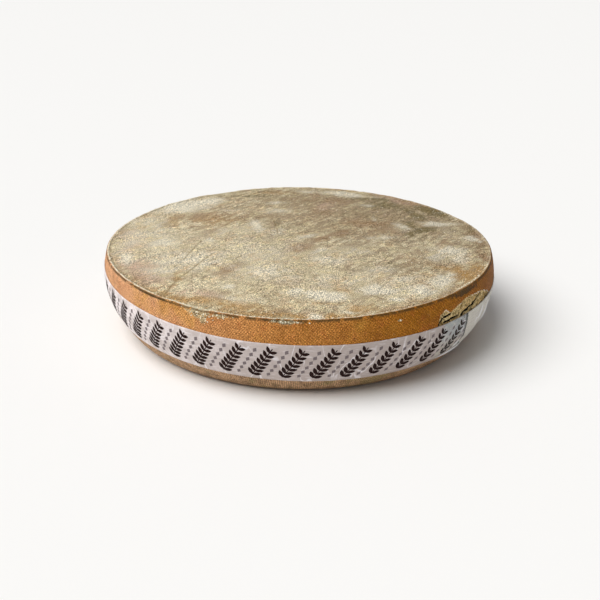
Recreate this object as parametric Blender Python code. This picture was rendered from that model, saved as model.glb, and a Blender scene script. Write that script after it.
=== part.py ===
"""A whole wheel of hard mountain cheese, with the paper band round its heel and the film over the band's joint.

Metres, +Z up. The origin is the middle of the flat base. Azimuths are in degrees: 0 is the front, at -Y,
and 90 is the right side, at +X. "Heel" is the cheesemaker's word for the wheel's rounded side.
"""

import math

import bmesh
import bpy
from mathutils import Vector, noise

# The heel's curve: a parabola that is widest well above the middle, so the wheel tapers to its base.
WIDEST_RADIUS = 0.3094
WIDEST_HEIGHT = 0.0897
HEEL_BULGE = 4.82
OVAL_SHARE = 0.0025
OVAL_AZIMUTH = 24.0

# The base is flat, and a soft round leads from it into the heel.
BASE_RADIUS = 0.2600
BASE_ROUND_HEIGHT = 0.0110

# The top face leans a little to the front right, and its rim waves three times round.
TOP_HEIGHT = 0.1232
TOP_LEAN_FRONT = 0.0018
TOP_LEAN_RIGHT = 0.0016
RIM_WAVE = 0.0010

# The lip is the thin dry ridge that the cheese mould leaves round the rim.
LIP_HEIGHT = 0.0013
LIP_CREST_INSET = 0.0020
LIP_FOOT_INSET = 0.0048
RIM_ROUND = 0.0024

# Hand-made unevenness: how far the surface wanders, and over what distance.
HEEL_WANDER = 0.0005
TOP_WANDER = 0.0009
LIP_WANDER = 0.0005
WANDER_LENGTH = 0.070
LIP_WANDER_LENGTH = 0.016

# The band: where its top edge runs, which is nearer the rim at the back and at the left, and its width.
BAND_TOP_HEIGHT = 0.0977
BAND_LEAN_FRONT = -0.0075
BAND_LEAN_RIGHT = -0.0052
BAND_WIDTH = 0.0625
BAND_THICKNESS = 0.0004
GAP = 0.0003

# The band's printed end lies on top of its start, and a piece of clear film holds the joint down.
BAND_START = 42.0
BAND_RISE_LENGTH = 5.0
BAND_END = 360.0 + 51.5
FILM_START = 39.8
FILM_END = 84.0
FILM_THICKNESS = 0.0003
FILM_DROP_LENGTH = 1.5
FILM_EDGE_INSET = 0.0012

# The broken rind above the joint: the outline of its upper edge as (azimuth, height), and its relief.
PATCH_EDGE = (
    (37.6, 0.0880),
    (38.6, 0.1040),
    (40.8, 0.1090),
    (42.4, 0.1030),
    (44.2, 0.1080),
    (51.5, 0.1135),
    (59.0, 0.1072),
    (63.5, 0.0990),
    (67.0, 0.0880),
)
PATCH_RECESS = 0.0012
PATCH_STEP = 0.0025
PATCH_FADE_BELOW_BAND = 0.0060
PLATE_RELIEF = 0.0010
PLATE_LENGTH = 0.016

# Cracks in the patch, each a chain of (azimuth, height).
CRACKS = (
    ((38.8, 0.0900), (40.2, 0.0985), (43.2, 0.1000)),
    ((48.8, 0.0905), (53.0, 0.0965), (54.4, 0.1000), (58.5, 0.1050)),
    ((62.6, 0.0905), (65.0, 0.0950)),
)
CRACK_DEPTH = 0.0042
CRACK_HALF_WIDTH = 0.0034

# Places where the lip is knocked off: azimuth, half width in degrees, drop and inset in metres.
RIM_CHIPS = (
    (-26.0, 6.0, 0.0024, 0.0034),
    (-3.5, 4.0, 0.0009, 0.0015),
    (50.0, 7.0, 0.0007, 0.0020),
    (118.0, 7.0, 0.0012, 0.0020),
    (-152.0, 9.0, 0.0015, 0.0024),
)

# How far apart the mesh's columns stand, in degrees, with closer stretches where there is finer relief.
COLUMN_STEP = 4.0
FINE_STRETCHES = (
    (36.5, 68.0, 0.8),
    (-35.0, -17.0, 2.0),
)

# How many rows of faces each stretch of the heel has, and the top face's rings as shares of its radius.
ROWS_BELOW_BAND = 3
ROWS_BEHIND_BAND = 6
ROWS_ABOVE_BAND = 9
BASE_ROUND_STEPS = (0.0, 0.4, 0.75)
RIM_ROUND_STEPS = (0.35, 0.75)
TOP_RINGS = (0.955, 0.88, 0.76, 0.60, 0.42, 0.22)
SOFT_EDGE_ANGLE = 40.0


def bump(distance, half_width):
    """1 at the middle, falling smoothly to 0 at the half width."""
    share = min(abs(distance) / half_width, 1.0)
    return 1.0 - share * share * (3.0 - 2.0 * share)


def turn_between(azimuth, middle):
    """The signed turn from middle to azimuth, from -180 to 180 degrees."""
    return (azimuth - middle + 180.0) % 360.0 - 180.0


def wander(azimuth, radius, height, length):
    """Smooth unevenness from -1 to 1 that changes over the given length."""
    turn = math.radians(azimuth)
    place = Vector((radius * math.sin(turn), -radius * math.cos(turn), height))
    return noise.noise(place / length)


def leaning(azimuth, front, right):
    """The height that a plane leaning to the front and to the right adds at the rim."""
    turn = math.radians(azimuth)
    return front * math.cos(turn) + right * math.sin(turn)


def top_height(azimuth, share):
    """Height of the top face's plane at a share of the rim's radius, with the rim's wave."""
    wave = RIM_WAVE * math.cos(3.0 * math.radians(azimuth)) * share**3
    return TOP_HEIGHT + leaning(azimuth, TOP_LEAN_FRONT, TOP_LEAN_RIGHT) * share - wave


def band_top(azimuth):
    """Height of the band's top edge."""
    return BAND_TOP_HEIGHT + leaning(azimuth, BAND_LEAN_FRONT, BAND_LEAN_RIGHT)


def heel_radius(azimuth, height):
    """Radius of the heel, slightly oval and uneven."""
    oval = 1.0 + OVAL_SHARE * math.cos(2.0 * math.radians(azimuth - OVAL_AZIMUTH))
    curve = WIDEST_RADIUS - HEEL_BULGE * (height - WIDEST_HEIGHT) ** 2
    return curve * oval + HEEL_WANDER * wander(azimuth, curve, height, WANDER_LENGTH)


def off_heel(azimuth, height, distance):
    """Radius and height of the point that stands a distance out from the heel, square to its curve."""
    slope = -2.0 * HEEL_BULGE * (height - WIDEST_HEIGHT)
    length = math.hypot(1.0, slope)
    radius = heel_radius(azimuth, height)
    return radius + distance / length, height - distance * slope / length


def along(chain, position):
    """The height of a chain of (azimuth, height) points at an azimuth inside it."""
    for (start, low), (end, high) in zip(chain, chain[1:]):
        if start <= position <= end:
            return low + (high - low) * (position - start) / (end - start)
    return 0.0


def distance_to_crack(azimuth, height, crack):
    """Distance on the heel, in metres, from a point to the nearest stretch of a crack."""
    metres_per_degree = math.radians(WIDEST_RADIUS)
    place = Vector((azimuth * metres_per_degree, height))
    nearest = WIDEST_RADIUS
    for start, end in zip(crack, crack[1:]):
        near = Vector((start[0] * metres_per_degree, start[1]))
        run = Vector((end[0] * metres_per_degree, end[1])) - near
        share = min(max((place - near).dot(run) / run.length_squared, 0.0), 1.0)
        nearest = min(nearest, (place - near - run * share).length)
    return nearest


def patch_depth(azimuth, height):
    """How far the broken rind lies behind the whole rind, with its plates and cracks."""
    edge = along(PATCH_EDGE, azimuth)
    above = min(max((edge - height) / PATCH_STEP, 0.0), 1.0)
    below = min(max((height - band_top(azimuth)) / PATCH_FADE_BELOW_BAND + 1.0, 0.0), 1.0)
    if above * below == 0.0:
        return 0.0
    plates = PLATE_RELIEF * wander(azimuth, WIDEST_RADIUS, height, PLATE_LENGTH)
    nearest = min(distance_to_crack(azimuth, height, crack) for crack in CRACKS)
    crack = CRACK_DEPTH * bump(nearest, CRACK_HALF_WIDTH)
    return (PATCH_RECESS + plates + crack) * above * below


def lip_place(azimuth):
    """Radius and height of the lip's crest, knocked down and in where it is chipped."""
    rim = top_height(azimuth, 1.0)
    radius = heel_radius(azimuth, rim) - LIP_CREST_INSET
    height = rim + LIP_WANDER * wander(azimuth, radius, rim, LIP_WANDER_LENGTH)
    for middle, half_width, drop, inset in RIM_CHIPS:
        depth = bump(turn_between(azimuth, middle), half_width)
        height -= drop * depth
        radius -= inset * depth
    return radius, height


def curve_between(start, corner, end, share):
    """A point on the soft curve that leaves start towards corner and arrives at end."""
    first = (1.0 - share) ** 2
    middle = 2.0 * share * (1.0 - share)
    last = share**2
    return tuple(first * a + middle * b + last * c for a, b, c in zip(start, corner, end))


def heel_heights(azimuth):
    """Heights of the heel's rows, which follow the base, both edges of the band, and the rim."""
    high = band_top(azimuth)
    low = high - BAND_WIDTH
    rim = top_height(azimuth, 1.0) - RIM_ROUND
    stretches = (
        (BASE_ROUND_HEIGHT, low, ROWS_BELOW_BAND),
        (low, high, ROWS_BEHIND_BAND),
        (high, rim, ROWS_ABOVE_BAND),
    )
    heights = [BASE_ROUND_HEIGHT]
    for start, end, rows in stretches:
        heights += [start + (end - start) * row / rows for row in range(1, rows + 1)]
    return heights


def wheel_profile(azimuth):
    """The wheel's outline at an azimuth as (radius, height), from the base's middle to the top's."""
    round_end = (heel_radius(azimuth, BASE_ROUND_HEIGHT), BASE_ROUND_HEIGHT)
    round_corner = (heel_radius(azimuth, 0.0), 0.0)
    profile = [(0.0, 0.0)]
    for share in BASE_ROUND_STEPS:
        profile.append(curve_between((BASE_RADIUS, 0.0), round_corner, round_end, share))

    for height in heel_heights(azimuth):
        radius = heel_radius(azimuth, height) - patch_depth(azimuth, height)
        profile.append((radius, height))

    crest = lip_place(azimuth)
    rim = top_height(azimuth, 1.0)
    corner = (heel_radius(azimuth, rim), crest[1])
    heel_end = profile[-1]
    for share in RIM_ROUND_STEPS:
        profile.append(curve_between(heel_end, corner, crest, share))
    profile.append(crest)

    foot_radius = crest[0] + LIP_CREST_INSET - LIP_FOOT_INSET
    profile.append((foot_radius, top_height(azimuth, 1.0) - LIP_HEIGHT))
    for share in TOP_RINGS:
        radius = foot_radius * share
        uneven = TOP_WANDER * wander(azimuth, radius, 0.0, WANDER_LENGTH)
        profile.append((radius, top_height(azimuth, share) - LIP_HEIGHT + uneven))
    profile.append((0.0, TOP_HEIGHT - LIP_HEIGHT))
    return profile


def column_azimuths():
    """Azimuths of the wheel's columns all the way round, closer together in the fine stretches."""
    azimuths = []
    azimuth = -180.0
    while azimuth < 180.0 - COLUMN_STEP / 2.0:
        azimuths.append(azimuth)
        step = COLUMN_STEP
        for start, end, fine_step in FINE_STRETCHES:
            if start <= azimuth < end:
                step = fine_step
        azimuth += step
    return azimuths


def on_wheel(azimuth, radius, height):
    """The point at an azimuth, radius and height."""
    turn = math.radians(azimuth)
    return Vector((radius * math.sin(turn), -radius * math.cos(turn), height))


def make_material(name, color, roughness, alpha=1.0):
    """A non-metallic material with one colour."""
    material = bpy.data.materials.new(name)
    material.use_nodes = True
    shader = material.node_tree.nodes["Principled BSDF"]
    shader.inputs["Base Color"].default_value = (*color, 1.0)
    shader.inputs["Roughness"].default_value = roughness
    shader.inputs["Metallic"].default_value = 0.0
    shader.inputs["Alpha"].default_value = alpha
    return material


def finish_object(name, mesh_data, material):
    """Makes an object of a closed bmesh, its faces turned outwards, smooth except at its hard edges."""
    bmesh.ops.recalc_face_normals(mesh_data, faces=mesh_data.faces)
    if mesh_data.calc_volume(signed=True) < 0.0:
        bmesh.ops.reverse_faces(mesh_data, faces=mesh_data.faces)
    bmesh.ops.triangulate(mesh_data, faces=mesh_data.faces)
    mesh = bpy.data.meshes.new(name)
    mesh_data.to_mesh(mesh)
    mesh_data.free()
    mesh.materials.append(material)
    mesh.shade_smooth()
    mesh.set_sharp_from_angle(angle=math.radians(SOFT_EDGE_ANGLE))
    piece = bpy.data.objects.new(name, mesh)
    bpy.context.collection.objects.link(piece)
    return piece


def make_wheel():
    """The cheese: a profile turned once round, then set to the outline of each azimuth."""
    azimuths = column_azimuths()
    mesh_data = bmesh.new()
    ring = mesh_data.verts.layers.int.new("ring")
    column = mesh_data.verts.layers.int.new("column")
    outline = []
    for number, (radius, height) in enumerate(wheel_profile(azimuths[0])):
        vertex = mesh_data.verts.new((radius, 0.0, height))
        vertex[ring] = number
        outline.append(vertex)
    edges = [mesh_data.edges.new(pair) for pair in zip(outline, outline[1:])]
    bmesh.ops.spin(
        mesh_data,
        geom=outline + edges,
        axis=(0.0, 0.0, 1.0),
        angle=math.tau,
        steps=len(azimuths),
        use_merge=True,
    )

    for vertex in mesh_data.verts:
        turned = math.atan2(vertex.co.y, vertex.co.x) % math.tau
        vertex[column] = round(turned / math.tau * len(azimuths)) % len(azimuths)
    profiles = [wheel_profile(azimuth) for azimuth in azimuths]
    for vertex in mesh_data.verts:
        radius, height = profiles[vertex[column]][vertex[ring]]
        vertex.co = on_wheel(azimuths[vertex[column]], radius, height)
    bmesh.ops.remove_doubles(mesh_data, verts=mesh_data.verts, dist=1e-6)
    rind = make_material("washed_rind", (0.52, 0.35, 0.16), 0.75)
    return finish_object("cheese_wheel", mesh_data, rind)


def make_strip(name, azimuths, edge_inset, inner_distance, thickness, material):
    """A thin strip as wide as the band, bent round the heel at the distance that a function gives."""
    mesh_data = bmesh.new()
    bmesh.ops.create_grid(
        mesh_data,
        x_segments=len(azimuths) - 1,
        y_segments=ROWS_BEHIND_BAND,
        size=0.5,
    )
    inner = {vertex: vertex.co.copy() for vertex in mesh_data.verts}
    extruded = bmesh.ops.extrude_face_region(mesh_data, geom=mesh_data.faces[:])
    outer = [part for part in extruded["geom"] if isinstance(part, bmesh.types.BMVert)]
    placing = [(vertex, flat, 0.0) for vertex, flat in inner.items()]
    placing += [(vertex, vertex.co.copy(), thickness) for vertex in outer]
    for vertex, flat, lift in placing:
        azimuth = azimuths[round((flat.x + 0.5) * (len(azimuths) - 1))]
        high = band_top(azimuth) - edge_inset
        low = band_top(azimuth) - BAND_WIDTH + edge_inset
        height = low + (high - low) * (flat.y + 0.5)
        distance = inner_distance(azimuth) + lift
        vertex.co = on_wheel(azimuth, *off_heel(azimuth, height, distance))
    return finish_object(name, mesh_data, material)


def azimuths_from(start, end):
    """The wheel's own columns between two azimuths, with both ends, going round once more if needed."""
    turns = [azimuth + turn for turn in (0.0, 360.0) for azimuth in column_azimuths()]
    inside = [azimuth for azimuth in turns if start + 0.2 < azimuth < end - 0.2]
    return [start, *inside, end]


def band_distance(azimuth):
    """The band lies on the heel, and its last stretch lies on its own first stretch."""
    rise_start = 360.0 + BAND_START - BAND_RISE_LENGTH
    share = min(max((azimuth - rise_start) / (BAND_RISE_LENGTH - 1.0), 0.0), 1.0)
    return GAP + share * (BAND_THICKNESS + GAP)


def film_distance(azimuth):
    """The film lies on the band's upper end, then comes down on the single layer past it."""
    one_layer = GAP + BAND_THICKNESS + GAP
    past_end = azimuth - (BAND_END - 360.0)
    share = min(max(past_end / FILM_DROP_LENGTH, 0.0), 1.0)
    return one_layer + (1.0 - share) * (BAND_THICKNESS + GAP)


def make_band():
    """The paper band, one strip that overlaps itself."""
    paper = make_material("band_paper", (0.62, 0.58, 0.60), 0.6)
    azimuths = azimuths_from(BAND_START, BAND_END)
    return make_strip("label_band", azimuths, 0.0, band_distance, BAND_THICKNESS, paper)


def make_film():
    """The clear film over the band's joint."""
    film = make_material("clear_film", (0.75, 0.76, 0.72), 0.15, alpha=0.35)
    azimuths = azimuths_from(FILM_START, FILM_END)
    return make_strip("joint_film", azimuths, FILM_EDGE_INSET, film_distance, FILM_THICKNESS, film)


def centre_on_base(pieces):
    """Moves every mesh alike, so that the whole stands with the middle of its outline over the origin."""
    corners = [vertex.co for piece in pieces for vertex in piece.data.vertices]
    middle_x = (min(corner.x for corner in corners) + max(corner.x for corner in corners)) / 2.0
    middle_y = (min(corner.y for corner in corners) + max(corner.y for corner in corners)) / 2.0
    for piece in pieces:
        for vertex in piece.data.vertices:
            vertex.co -= Vector((middle_x, middle_y, 0.0))


for leftover in list(bpy.data.objects):
    bpy.data.objects.remove(leftover)
centre_on_base([make_wheel(), make_band(), make_film()])
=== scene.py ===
"""The looks of a whole wheel of hard washed-rind cheese, in a paper band with clear film over its joint.

Metres, +Z up. Azimuths are in degrees: 0 is the front, at -Y, and 90 is the right side, at +X.
The heel is the cheesemaker's word for the wheel's rounded side.
"""

import math
import random

import bmesh
import bpy
import numpy as np
from mathutils import Matrix, Vector, noise


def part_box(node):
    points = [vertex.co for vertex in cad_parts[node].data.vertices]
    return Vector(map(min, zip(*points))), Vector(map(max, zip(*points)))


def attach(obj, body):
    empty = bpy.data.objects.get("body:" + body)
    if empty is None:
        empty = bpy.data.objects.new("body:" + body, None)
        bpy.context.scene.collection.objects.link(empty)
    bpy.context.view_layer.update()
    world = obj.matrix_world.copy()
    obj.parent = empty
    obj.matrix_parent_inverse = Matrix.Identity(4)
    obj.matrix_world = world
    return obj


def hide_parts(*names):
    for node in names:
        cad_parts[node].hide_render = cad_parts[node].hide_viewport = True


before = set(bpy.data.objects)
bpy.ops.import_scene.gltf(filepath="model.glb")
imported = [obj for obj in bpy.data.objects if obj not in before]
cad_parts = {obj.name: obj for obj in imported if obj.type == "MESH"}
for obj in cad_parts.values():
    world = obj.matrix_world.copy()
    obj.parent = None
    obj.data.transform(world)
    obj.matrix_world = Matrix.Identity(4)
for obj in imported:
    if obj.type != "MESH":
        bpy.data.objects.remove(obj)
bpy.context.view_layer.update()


# The cheese
# One pressed and ripened wheel, 62 cm across. Its brushed top is dry and grainy, its washed heel is waxy and
# keeps the weave of the cheesecloth, and the mould has left a thin dry lip round the rim.

# The heel's curve is a parabola, widest well above the middle, and a soft round leads to the flat base.
WIDEST_RADIUS = 0.3094
WIDEST_HEIGHT = 0.0897
HEEL_BULGE = 4.82
OVAL_SHARE = 0.0025
OVAL_AZIMUTH = 24.0
BASE_RADIUS = 0.2600
BASE_ROUND_HEIGHT = 0.0110

# The top face leans a little to the front right, and its rim waves three times round.
TOP_HEIGHT = 0.1232
TOP_LEAN_FRONT = 0.0018
TOP_LEAN_RIGHT = 0.0016
RIM_WAVE = 0.0010

LIP_HEIGHT = 0.0013
LIP_CREST_INSET = 0.0020
LIP_FOOT_INSET = 0.0048
RIM_ROUND = 0.0024

# Hand-made unevenness: how far the surface wanders, and over what distance.
HEEL_WANDER = 0.0005
TOP_WANDER = 0.0009
LIP_WANDER = 0.0006
WANDER_LENGTH = 0.070
LIP_WANDER_LENGTH = 0.016
LIP_CRUMBLE = 0.0004
LUMP_RISE = 0.00035
LUMP_LENGTH = 0.017
GRAIN_RISE = 0.00018
GRAIN_LENGTH = 0.0065

# The top's wander dies out at the rim, by this power of the share of the radius.
RIM_STEADY = 8

# The smooth heel has these shares of the top's lumps and grain.
HEEL_LUMPS = 0.6
HEEL_GRAIN = 0.4

# The band's top edge and width, which the heel's rows of faces follow.
BAND_TOP_HEIGHT = 0.0977
BAND_LEAN_FRONT = -0.0075
BAND_LEAN_RIGHT = -0.0052
BAND_WIDTH = 0.0625

# The broken rind above the band's joint: its upper edge as a chain of (azimuth, height).
PATCH_EDGE = (
    (37.6, 0.0880),
    (38.6, 0.1040),
    (40.8, 0.1090),
    (42.4, 0.1030),
    (44.2, 0.1075),
    (51.5, 0.1125),
    (59.0, 0.1072),
    (63.5, 0.0990),
    (67.0, 0.0880),
)

# Its relief: how far it lies back as a whole, how its edge steps and tears, and its plates, flakes and seams.
PATCH_RECESS = 0.0012
PATCH_STEP = 0.0016
PATCH_FADE_BELOW_BAND = 0.0060
PATCH_EDGE_RAGGED = 0.0022
PLATE_RELIEF = 0.0015
PLATE_LENGTH = 0.011
FLAKE_RELIEF = 0.0009
FLAKE_LENGTH = 0.0045
SEAM_DEPTH = 0.0012
SEAM_SHARE = 0.11
PLATE_WARP = 0.25
PLATE_STEPS = 1.6
PLATE_SHUFFLE = 7.3

# Its cracks, as such chains, each with its half width.
CRACKS = (
    (((38.4, 0.0893), (39.7, 0.0953), (40.1, 0.0979), (43.2, 0.0998)), 0.0030),
    (((40.2, 0.0900), (42.6, 0.0914), (45.8, 0.0908)), 0.0026),
    (((54.6, 0.0966), (51.9, 0.0944), (50.1, 0.0925), (47.6, 0.0905)), 0.0046),
    (((53.6, 0.0950), (55.5, 0.0990), (58.9, 0.1044)), 0.0036),
    (((62.6, 0.0885), (64.0, 0.0920), (65.0, 0.0945)), 0.0030),
)
CRACK_DEPTH = 0.0024

# Places where the lip is knocked off: azimuth, half width in degrees, drop and inset in metres.
RIM_CHIPS = (
    (-26.0, 6.0, 0.0024, 0.0034),
    (-3.5, 4.0, 0.0009, 0.0015),
    (50.0, 7.0, 0.0007, 0.0020),
    (118.0, 7.0, 0.0012, 0.0020),
    (-152.0, 9.0, 0.0015, 0.0024),
)

# How steeply a chip's look falls off inwards from the rim, as a power of the share of the radius.
CHIP_FALL = 40

# Creases that cloth folds pressed into the top, in millimetres, each with its depth and half width.
MM_PER_METRE = 1000.0
CREASES = (
    (((-157, 0), (-166, -42), (-175, -88)), 0.7, 2.6),
    (((-133, -60), (-146, -92), (-157, -125), (-170, -160), (-180, -200), (-184, -232)), 0.9, 3.0),
    (((-88, -72), (-98, -84), (-108, -96)), 0.5, 2.0),
    (((18, 136), (45, 151), (66, 168)), 0.7, 2.4),
    (((82, -203), (104, -224), (127, -243)), 0.5, 2.0),
    (((228, -100), (242, -106), (256, -116)), 0.6, 2.2),
    (((-46, 108), (-39, 66), (-36, 24)), 0.4, 2.6),
)

# Stains on the top face in millimetres: x, y, half length, half width, turn in degrees, and strength.
STAINS = {
    # The shade family is a broad darker tone, most of all at the back right: partly the rind's own colour,
    # partly painted shade.
    "shade": (
        (150, 120, 180, 130, 20, 0.80),
        (210, 60, 60, 90, 0, 0.60),
        (40, 215, 150, 60, -5, 0.80),
        (190, 190, 60, 40, -43, 0.90),
        (245, 158, 50, 30, -55, 1.00),
        (-60, 112, 66, 50, -10, 0.65),
        (-130, 168, 62, 22, 10, 0.60),
        (288, 10, 20, 120, 0, 0.90),
        (165, -110, 70, 36, 20, 0.65),
        (80, -125, 34, 22, 0, 0.35),
        (185, -80, 34, 24, 10, 0.60),
        (215, -188, 44, 18, 45, 0.45),
        (238, -160, 30, 30, 0, 0.45),
        (-80, -238, 34, 20, -15, 0.45),
        (0, -290, 130, 16, 0, 0.65),
        (60, 26, 74, 34, 48, 0.55),
        (50, -20, 60, 44, 0, 0.35),
        (-110, 228, 80, 40, 10, 0.35),
    ),
    "brown_stain": (
        (-160, 112, 66, 44, 10, 0.72),
        (-118, 132, 34, 22, 0, 0.45),
        (-222, 72, 18, 20, -20, 0.6),
        (-148, 40, 12, 26, 0, 0.6),
        (-2, -34, 27, 15, 48, 1.0),
        (34, 6, 32, 14, 47, 0.8),
        (68, 40, 24, 15, 45, 0.9),
        (80, 62, 26, 10, 10, 0.7),
        (118, 92, 42, 24, -5, 0.9),
        (140, 52, 34, 24, 0, 0.5),
        (38, 172, 18, 40, 5, 0.7),
        (64, 216, 34, 26, -20, 0.7),
        (26, 258, 14, 20, 0, 0.7),
        (-5, 224, 56, 9, 4, 0.5),
        (30, 118, 16, 34, -30, 0.6),
        (-106, -126, 15, 25, -28, 0.92),
        (-128, -112, 10, 10, 0, 0.7),
        (165, -76, 15, 17, 0, 0.6),
        (236, -2, 11, 30, -12, 0.7),
        (18, -156, 7, 20, -15, 0.6),
        (-178, -14, 8, 24, 0, 0.5),
        (-244, -180, 16, 44, -52, 0.8),
        (-196, -232, 44, 9, -42, 0.7),
        (-283, -100, 7, 46, 20, 0.6),
        (-290, 30, 7, 30, 0, 0.6),
        (194, 222, 70, 14, -43, 1.0),
        (246, 160, 34, 12, -58, 0.9),
        (288, 30, 11, 50, -6, 0.8),
        (283, -80, 13, 62, 15, 0.9),
        (170, -246, 50, 8, 36, 0.7),
    ),
    "olive_stain": (
        (207, 59, 27, 12, 35, 1.0),
        (187, 32, 13, 18, 0, 0.8),
        (190, 84, 9, 26, -10, 0.7),
        (242, 160, 44, 18, -52, 1.0),
        (204, 138, 12, 26, 18, 0.9),
        (152, 196, 32, 24, -12, 0.8),
        (184, 168, 18, 12, 0, 0.7),
        (128, 234, 36, 10, -14, 0.9),
        (-100, 246, 44, 8, 2, 0.7),
        (-38, 76, 4, 34, 5, 0.5),
        (142, -108, 9, 20, 20, 0.5),
        (102, -130, 16, 8, 10, 0.4),
        (286, 62, 7, 18, 0, 0.6),
        (-62, 272, 40, 8, 4, 0.4),
    ),
    "ochre_smear": (
        (-90, -262, 60, 16, -14, 0.75),
        (-150, -244, 70, 14, -32, 0.80),
        (0, -290, 110, 9, 0, 0.8),
        (82, -268, 24, 11, 5, 0.7),
        (30, -252, 44, 6, 0, 0.4),
        (240, -142, 20, 32, 0, 1.0),
        (262, -120, 12, 22, 20, 0.8),
        (216, -118, 26, 9, -12, 0.7),
        (172, -158, 20, 30, -25, 0.35),
        (130, -172, 30, 18, 0, 0.4),
        (58, -198, 7, 26, 38, 0.5),
        (-172, -150, 7, 52, -8, 0.6),
        (-242, -190, 12, 40, 42, 0.6),
        (-216, 96, 9, 44, 8, 0.4),
        (-60, 264, 48, 12, 4, 0.5),
        (-150, 100, 44, 26, 0, 0.4),
        (118, 95, 26, 12, 0, 0.2),
    ),
    "pink_smear": (
        (-238, -128, 20, 34, 10, 0.8),
        (-140, -222, 40, 22, -25, 0.55),
        (-215, -165, 26, 44, 35, 0.6),
        (-262, -110, 14, 44, 18, 0.6),
        (-262, -40, 20, 60, 0, 0.5),
        (-276, 10, 14, 30, 0, 0.5),
        (-190, -180, 20, 40, 0, 0.4),
        (44, 190, 20, 24, 0, 0.5),
        (180, 226, 40, 9, -40, 0.6),
    ),
    "pale_bloom": (
        (-207, 186, 50, 32, 36, 1.0),
        (-166, 214, 24, 19, -20, 1.0),
        (-42, 158, 24, 11, 26, 0.45),
        (-74, 72, 11, 30, 16, 0.8),
        (-240, 36, 22, 34, 0, 0.5),
        (-214, -14, 32, 30, 0, 0.7),
        (-262, -86, 10, 28, 14, 0.9),
        (-176, -118, 22, 30, 0, 0.4),
        (-142, -4, 10, 12, 0, 0.7),
        (34, -46, 18, 10, 24, 0.6),
        (12, 22, 8, 24, -42, 0.5),
        (36, -224, 27, 17, -4, 1.0),
        (60, -170, 50, 26, 10, 0.4),
        (-6, -214, 15, 11, 0, 0.9),
        (104, -205, 21, 14, 10, 1.0),
        (132, -231, 15, 8, 20, 0.8),
        (166, -205, 22, 15, 32, 1.0),
        (206, -172, 24, 16, 46, 1.0),
        (223, -146, 7, 13, -10, 1.0),
        (236, -50, 24, 22, 0, 0.9),
        (210, -74, 18, 14, 0, 0.6),
        (236, 94, 26, 11, 6, 0.8),
        (279, 14, 11, 15, 0, 0.9),
        (170, 74, 11, 20, 0, 0.7),
        (130, 18, 22, 10, 10, 0.6),
        (86, 262, 44, 11, -14, 0.9),
        (10, 276, 18, 10, 0, 0.6),
        (127, 118, 5, 8, 0, 0.8),
        (-96, -190, 8, 8, 0, 0.9),
        (20, -286, 13, 6, 8, 0.9),
        (62, -280, 10, 5, 12, 0.9),
        (-110, 40, 44, 26, 20, 0.4),
        (-250, 80, 26, 40, 0, 0.5),
        (-160, -90, 60, 40, 0, 0.6),
        (-268, 0, 26, 90, 0, 0.4),
        (-60, -60, 70, 70, 0, 0.3),
        (-50, -140, 44, 30, 0, 0.5),
        (40, -85, 30, 24, 10, 0.5),
        (150, -165, 26, 14, 30, 0.6),
        (-80, -236, 24, 9, -12, 0.5),
        (-200, -135, 28, 24, 0, 0.5),
        (85, -45, 26, 16, 0, 0.5),
        (118, -125, 26, 14, 20, 0.5),
        (122, -200, 20, 11, 20, 0.6),
        (243, 40, 14, 36, 0, 0.2),
        (244, -76, 12, 20, 0, 0.6),
        (-40, 45, 14, 18, 0, 0.5),
        (-40, 204, 18, 11, 0, 0.5),
        (124, 200, 16, 9, 0, 0.4),
        (-282, 80, 12, 30, 0, 0.5),
        (-120, 160, 24, 11, 10, 0.4),
    ),
}

# A stain fades out between these shares of its half sizes, and its edge wanders over each length, in metres,
# by each amount.
STAIN_EDGE = (0.25, 1.65)
STAIN_WANDERS = ((0.045, 0.011), (0.013, 0.006))

# The brown ring inside the rim: where it starts, the azimuth where it is brownest, and its mean strength.
RIM_RING_START = 0.93
RIM_BROWNEST = 35.0
RIM_BROWN_MEAN = 0.65

# Dusty smears and spots under the lip: azimuth, height, half width in degrees, half height in metres.
HEEL_SMEARS = (
    (-26.0, 0.1190, 4.6, 0.0048),
    (-25.4, 0.1150, 3.0, 0.0050),
    (-24.2, 0.1100, 1.3, 0.0050),
    (-19.5, 0.1195, 3.0, 0.0034),
    (-3.0, 0.1205, 4.6, 0.0030),
    (25.8, 0.1117, 0.8, 0.0024),
    (118.0, 0.1190, 7.0, 0.0040),
    (-152.0, 0.1180, 8.0, 0.0050),
    (150.0, 0.1100, 3.0, 0.0060),
    (-100.0, 0.1130, 4.0, 0.0050),
)

# Dark rough scuffs close under the lip, in the same terms. They are partly dark rind and partly painted shade
# under the lip.
HEEL_SCUFFS_AND_SHADE = (
    (50.0, 0.1205, 8.5, 0.0042),
    (-4.0, 0.1215, 6.0, 0.0022),
    (-40.0, 0.1215, 9.0, 0.0016),
    (95.0, 0.1200, 9.0, 0.0030),
    (-120.0, 0.1200, 12.0, 0.0024),
    (170.0, 0.1200, 14.0, 0.0026),
)

# A smear ends at this share of its half sizes.
SMEAR_EDGE = 1.3

# How many rows of faces the looks of the top face, the lip, the line under it and the chips reach over.
TOP_FADE_ROWS = 1.5
LIP_ROWS = 2.4
UNDER_LIP_ROWS = 4.0
CHIP_ROWS = 12.0

# The seed of the noise that moves the stains' edges and the plates, so that each run gives the same wheel.
NOISE_SEED = 3

# How fine the mesh is: cells across the top face, and rows of faces down each stretch of the heel. The
# columns stand closer together at the broken rind.
TOP_CELLS = 166
LIP_STEPS = (0.35, 0.7)
RIM_ROUND_STEPS = (0.2, 0.4, 0.6, 0.8)
ROWS_ABOVE_BAND = 30
ROWS_BEHIND_BAND = 7
ROWS_BELOW_BAND = 12
BASE_ROUND_STEPS = (0.85, 0.65, 0.45, 0.22, 0.0)
FINE_STRETCH = (36.5, 68.0)
FINE_DENSITY = 2.6


def bump(distance, half_width):
    """1 at the middle, falling smoothly to 0 at the half width."""
    share = min(abs(distance) / half_width, 1.0)
    return 1.0 - share * share * (3.0 - 2.0 * share)


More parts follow.
